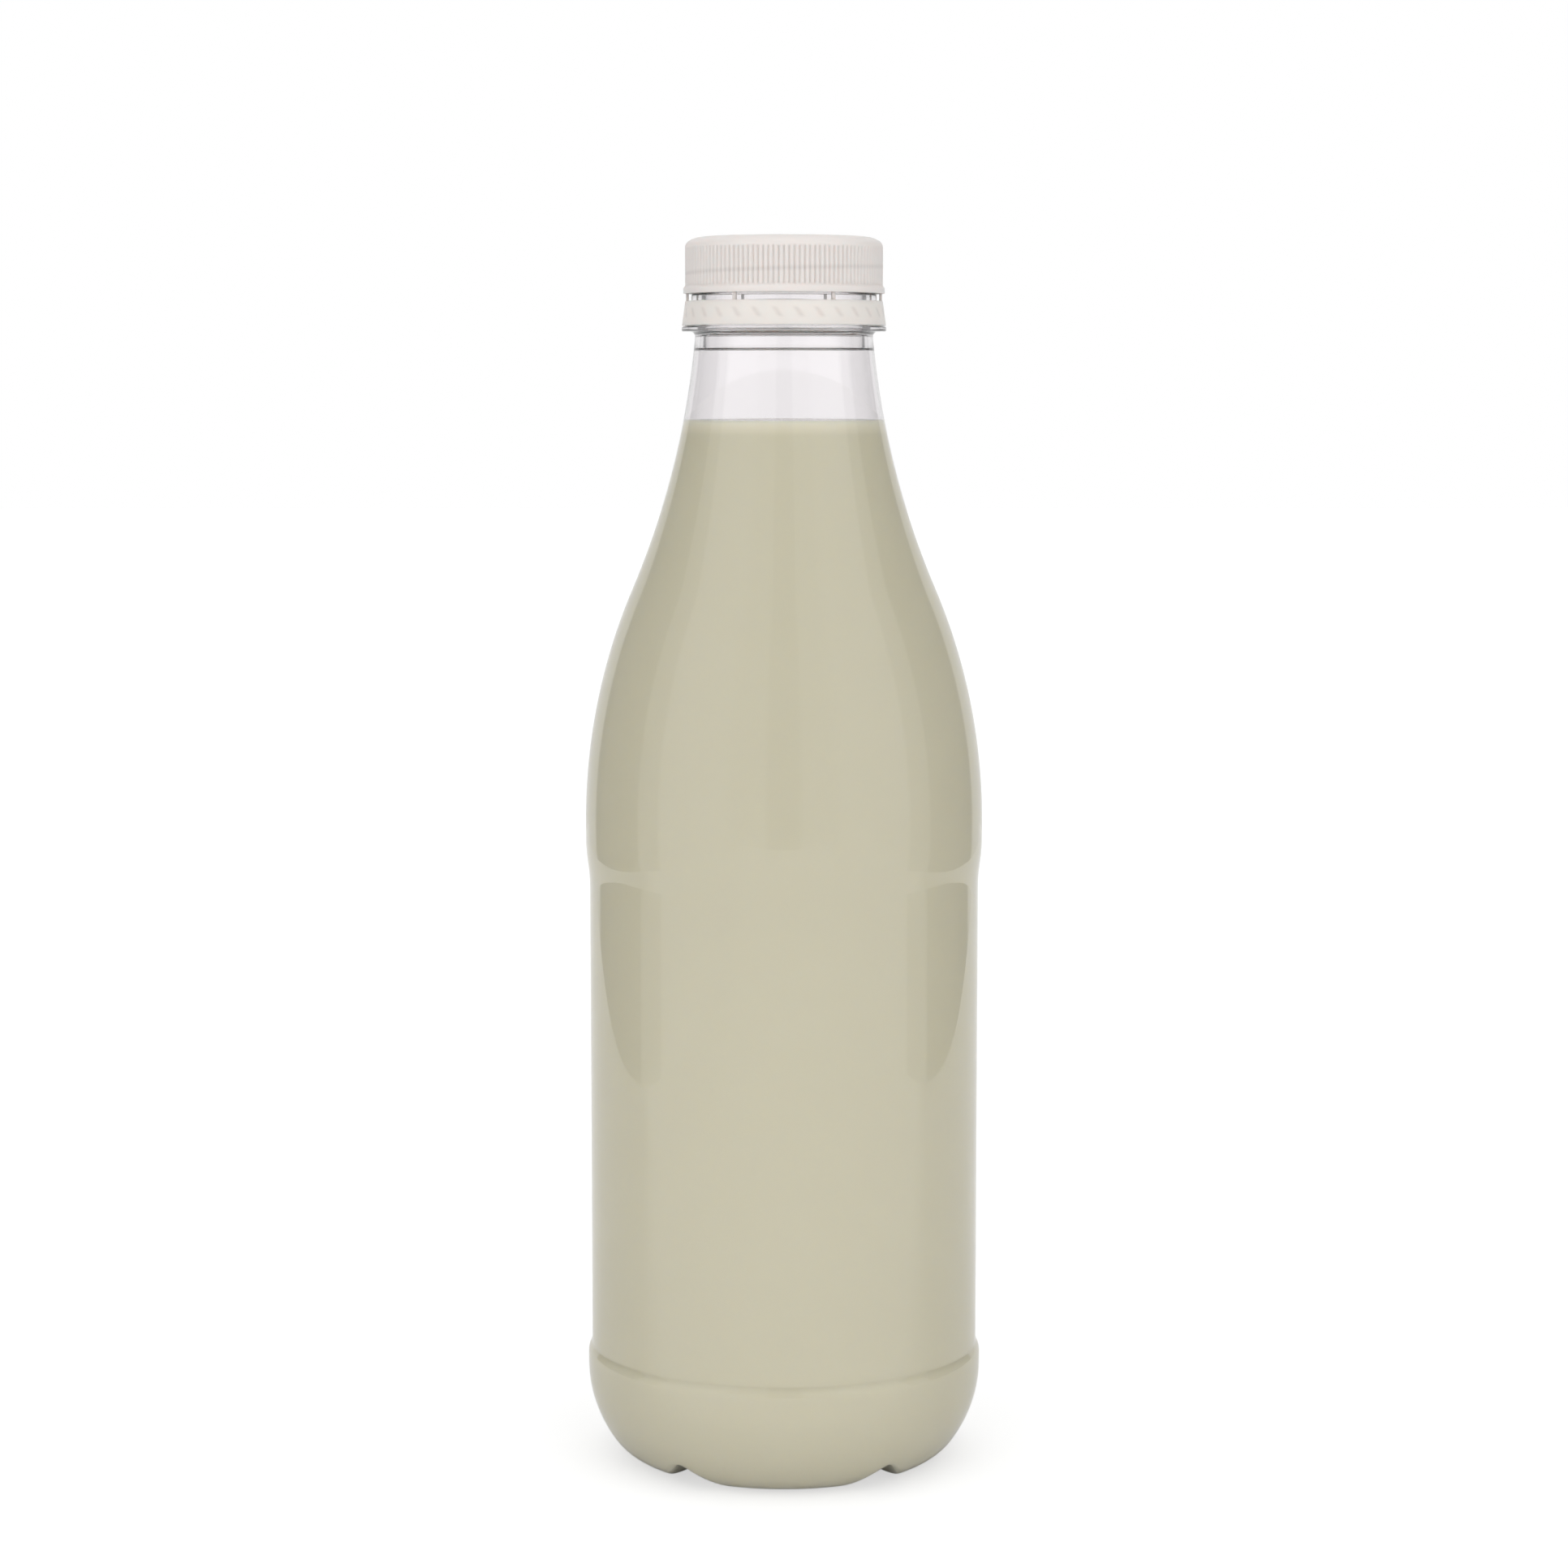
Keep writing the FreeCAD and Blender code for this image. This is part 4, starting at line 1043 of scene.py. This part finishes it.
class MESH_OT_tamper_band(bpy.types.Operator):
    """Make the tamper band with the slanting flaps that catch under the neck's bead"""
    bl_idname = "mesh.tamper_band"
    bl_label = "Tamper band"

    def execute(self, context):
        scene = context.scene
        closure, bottle = scene.closure_sizes, scene.bottle_sizes
        at = closure_heights(closure, bottle)
        inside, outside = band_radii(closure, bottle)
        flare = closure.band_flare
        middle = ((inside + outside) / 2, at.band_top)
        loop = soften([middle, (inside, at.band_top), (inside + flare, at.band_bottom),
                       (outside + flare, at.band_bottom), (outside, at.band_top), middle],
                      closure.edge)
        piece = new_piece(turned_mesh("tamper_band", loop, even_angles(closure.band_segments)))

        wall_inside = inside + flare * (1 - closure.flap_start / closure.band_height)
        root = (at.flap_root, wall_inside + closure.overlap - closure.flap_wall,
                closure.flap_wall, 0.0, closure.flap_width)
        tip = (at.flap_tip, inside - closure.flap_reach, closure.flap_wall,
               -closure.flap_lean, closure.flap_width)
        set_round(piece, block_mesh("flap", root, tip, closure.edge), closure.flaps,
                  closure.flap_first, closure_finish(scene))
        finish_piece(piece, "hdpe")
        return {"FINISHED"}


class MESH_OT_tear_bridges(bpy.types.Operator):
    """Make the thin bridges that hold the band to the cap until it is first opened"""
    bl_idname = "mesh.tear_bridges"
    bl_label = "Tear bridges"

    def execute(self, context):
        scene = context.scene
        closure, bottle = scene.closure_sizes, scene.bottle_sizes
        at = closure_heights(closure, bottle)
        inside = band_radii(closure, bottle)[0] + (closure.band_wall - closure.bridge_wall) / 2
        oblong = (inside, closure.bridge_wall, 0.0, closure.bridge_width)
        bridge = block_mesh("bridge", (at.band_top - closure.overlap, *oblong),
                            (at.skirt_bottom + closure.overlap, *oblong), closure.edge)
        piece = new_piece(bpy.data.meshes.new("tear_bridges"))
        set_round(piece, bridge, closure.bridges, 0.0, closure_finish(scene))
        finish_piece(piece, "hdpe")
        return {"FINISHED"}


# ---- studio ----------------------------------------------------------------------------------

def studio_world(studio):
    """Soft studio light from all round, with a dark gap each side of the white backdrop.

    The camera meets plain white, past the bottle and straight through it. Light that was
    reflected or scattered on its way meets the backdrop, the gaps and the softboxes.
    """
    world = bpy.data.worlds.new("studio")
    world.use_nodes = True
    tree = world.node_tree
    tree.nodes.clear()
    direction = add(tree, "ShaderNodeSeparateXYZ",
                    {0: add(tree, "ShaderNodeTexCoord").outputs["Generated"]})
    x, y, z = direction.outputs
    flat = add(tree, "ShaderNodeCombineXYZ", {0: x, 1: y})
    run = add(tree, "ShaderNodeVectorMath", {0: flat}, operation="LENGTH").outputs["Value"]
    ahead = add(tree, "ShaderNodeMath", {0: y, 1: run}, operation="DIVIDE")
    turn = add(tree, "ShaderNodeMath", {0: ahead}, operation="ARCCOSINE")

    # Each zone of the room begins at an edge, softened by some degrees.
    bright = studio.backdrop
    for edge, soft, zone in ((studio.backdrop_edge, 2, studio.gap),
                             (studio.frame_edge, 1.5, studio.softbox_frame),
                             (studio.softbox_edge, 2, studio.softbox),
                             (studio.front_edge, 4, studio.front),
                             (studio.camera_edge, 1.5, studio.camera_stand)):
        past = add(tree, "ShaderNodeMapRange",
                   {"Value": turn, "From Min": edge - radians(soft),
                    "From Max": edge + radians(soft)}, interpolation_type="SMOOTHSTEP")
        bright = add(tree, "ShaderNodeMix", {"Factor": past, "A": bright, "B": zone},
                     data_type="FLOAT")
    above = add(tree, "ShaderNodeMapRange",
                {"Value": z, "From Min": studio.overhead_low, "From Max": studio.overhead_high},
                interpolation_type="SMOOTHSTEP")
    lit = add(tree, "ShaderNodeMix", {"Factor": above, "A": bright, "B": studio.overhead},
              data_type="FLOAT")
    path = add(tree, "ShaderNodeLightPath").outputs
    turned = add(tree, "ShaderNodeMath", {0: path["Diffuse Depth"], 1: path["Glossy Depth"]},
                 operation="ADD")
    straight = add(tree, "ShaderNodeMath", {0: turned, 1: 0.5}, operation="LESS_THAN")
    through = add(tree, "ShaderNodeMath", {0: path["Is Transmission Ray"], 1: straight},
                  operation="MULTIPLY")
    seen = add(tree, "ShaderNodeMath", {0: path["Is Camera Ray"], 1: through},
               operation="MAXIMUM")
    strength = add(tree, "ShaderNodeMix", {"Factor": seen, "A": lit, "B": 1.0},
                   data_type="FLOAT")
    background = add(tree, "ShaderNodeBackground",
                     {"Color": linear("#ffffff"), "Strength": strength})
    add(tree, "ShaderNodeOutputWorld", {"Surface": background})
    return world


def stage_plane(name, half_width, half_depth, material):
    """A level plane of the stage, round the origin."""
    mesh = bpy.data.meshes.new(name)
    corners = [(-half_width, -half_depth, 0.0), (half_width, -half_depth, 0.0),
               (half_width, half_depth, 0.0), (-half_width, half_depth, 0.0)]
    mesh.from_pydata(corners, [], [range(len(corners))])
    mesh.materials.append(material)
    plane = new_piece(mesh)
    return plane


def finish_lit(tree, shade, strength):
    """End a stage material: matt, with white light of its own."""
    matt = add(tree, "ShaderNodeBsdfDiffuse", {"Color": linear(shade)})
    glow = add(tree, "ShaderNodeEmission", {"Color": linear("#ffffff"), "Strength": strength})
    both = add(tree, "ShaderNodeAddShader", {0: matt, 1: glow})
    add(tree, "ShaderNodeOutputMaterial", {"Surface": both})


def floor_material(studio):
    """Seamless white paper, which looks white to the camera and keeps a soft shadow."""
    material, tree = new_material("white_seamless_paper")
    finish_lit(tree, "#b2b2b2", studio.floor_glow)
    return material


def table_material(studio):
    """Opal acrylic, lit from below: a white top that shines up at the bottle from the front."""
    material, tree = new_material("opal_acrylic_sheet")
    coords = add(tree, "ShaderNodeTexCoord").outputs["Object"]
    y = add(tree, "ShaderNodeSeparateXYZ", {0: coords}).outputs["Y"]
    lit = add(tree, "ShaderNodeMapRange",
              {"Value": y, "From Min": -studio.glow_start, "From Max": -studio.glow_full,
               "To Min": 0.0, "To Max": studio.table_glow}, interpolation_type="SMOOTHSTEP")
    finish_lit(tree, "#f2f2f2", lit)
    return material


class SCENE_OT_studio_stage(bpy.types.Operator):
    """Set up the pale floor, the soft studio light and the camera"""
    bl_idname = "scene.studio_stage"
    bl_label = "Studio stage"

    def execute(self, context):
        scene = context.scene
        studio = scene.studio_sizes
        scene.world = studio_world(studio)
        reach = studio.floor_half_width
        floor = stage_plane("floor", reach, reach, floor_material(studio))
        floor.visible_glossy = False
        floor.visible_diffuse = False
        floor.visible_transmission = False

        # The table lights the bottle from just under the floor, and only the floor is seen.
        table = stage_plane("table_top", studio.table_half_width, studio.table_depth,
                            table_material(studio))
        table.visible_camera = False
        table.location.z = -studio.table_drop

        scene.view_settings.view_transform = "Standard"
        camera = bpy.data.objects.new("camera", bpy.data.cameras.new("camera"))
        scene.collection.objects.link(camera)
        camera.data.lens = studio.camera_lens / MM
        camera.data.sensor_width = studio.camera_sensor / MM
        camera.data.clip_start = studio.camera_near
        camera.location = (0.0, -studio.camera_distance, studio.camera_height)
        camera.rotation_euler = (pi / 2 - studio.camera_pitch, 0.0, 0.0)
        scene.camera = camera
        return {"FINISHED"}


class VIEW3D_PT_milk_bottle(bpy.types.Panel):
    """The steps that make the milk bottle, in order"""
    bl_idname = "VIEW3D_PT_milk_bottle"
    bl_label = "Milk bottle"
    bl_space_type = "VIEW_3D"
    bl_region_type = "UI"
    bl_category = "Milk bottle"

    def draw(self, context):
        for step in STEPS:
            self.layout.operator(step.bl_idname)
        for group in GROUPS:
            sizes = getattr(context.scene, group)
            box = self.layout.box()
            for name in sizes.__annotations__:
                box.prop(sizes, name)


STEPS = (MESH_OT_blown_bottle, MESH_OT_milk_filling, MESH_OT_ribbed_cap, MESH_OT_tamper_band,
         MESH_OT_tear_bridges, SCENE_OT_studio_stage)


def register():
    """Tell Blender of the sizes, the steps and the panel."""
    for kind in (*GROUPS.values(), *STEPS, VIEW3D_PT_milk_bottle):
        bpy.utils.register_class(kind)
    for name, kind in GROUPS.items():
        setattr(bpy.types.Scene, name, bpy.props.PointerProperty(type=kind))


def unregister():
    """Take them all out again."""
    for name in GROUPS:
        delattr(bpy.types.Scene, name)
    for kind in reversed((*GROUPS.values(), *STEPS, VIEW3D_PT_milk_bottle)):
        bpy.utils.unregister_class(kind)


def main():
    """Make every piece and the stage."""
    register()
    bpy.ops.mesh.blown_bottle()
    bpy.ops.mesh.milk_filling()
    bpy.ops.mesh.ribbed_cap()
    bpy.ops.mesh.tamper_band()
    bpy.ops.mesh.tear_bridges()
    bpy.ops.scene.studio_stage()


if __name__ == "__main__":
    main()
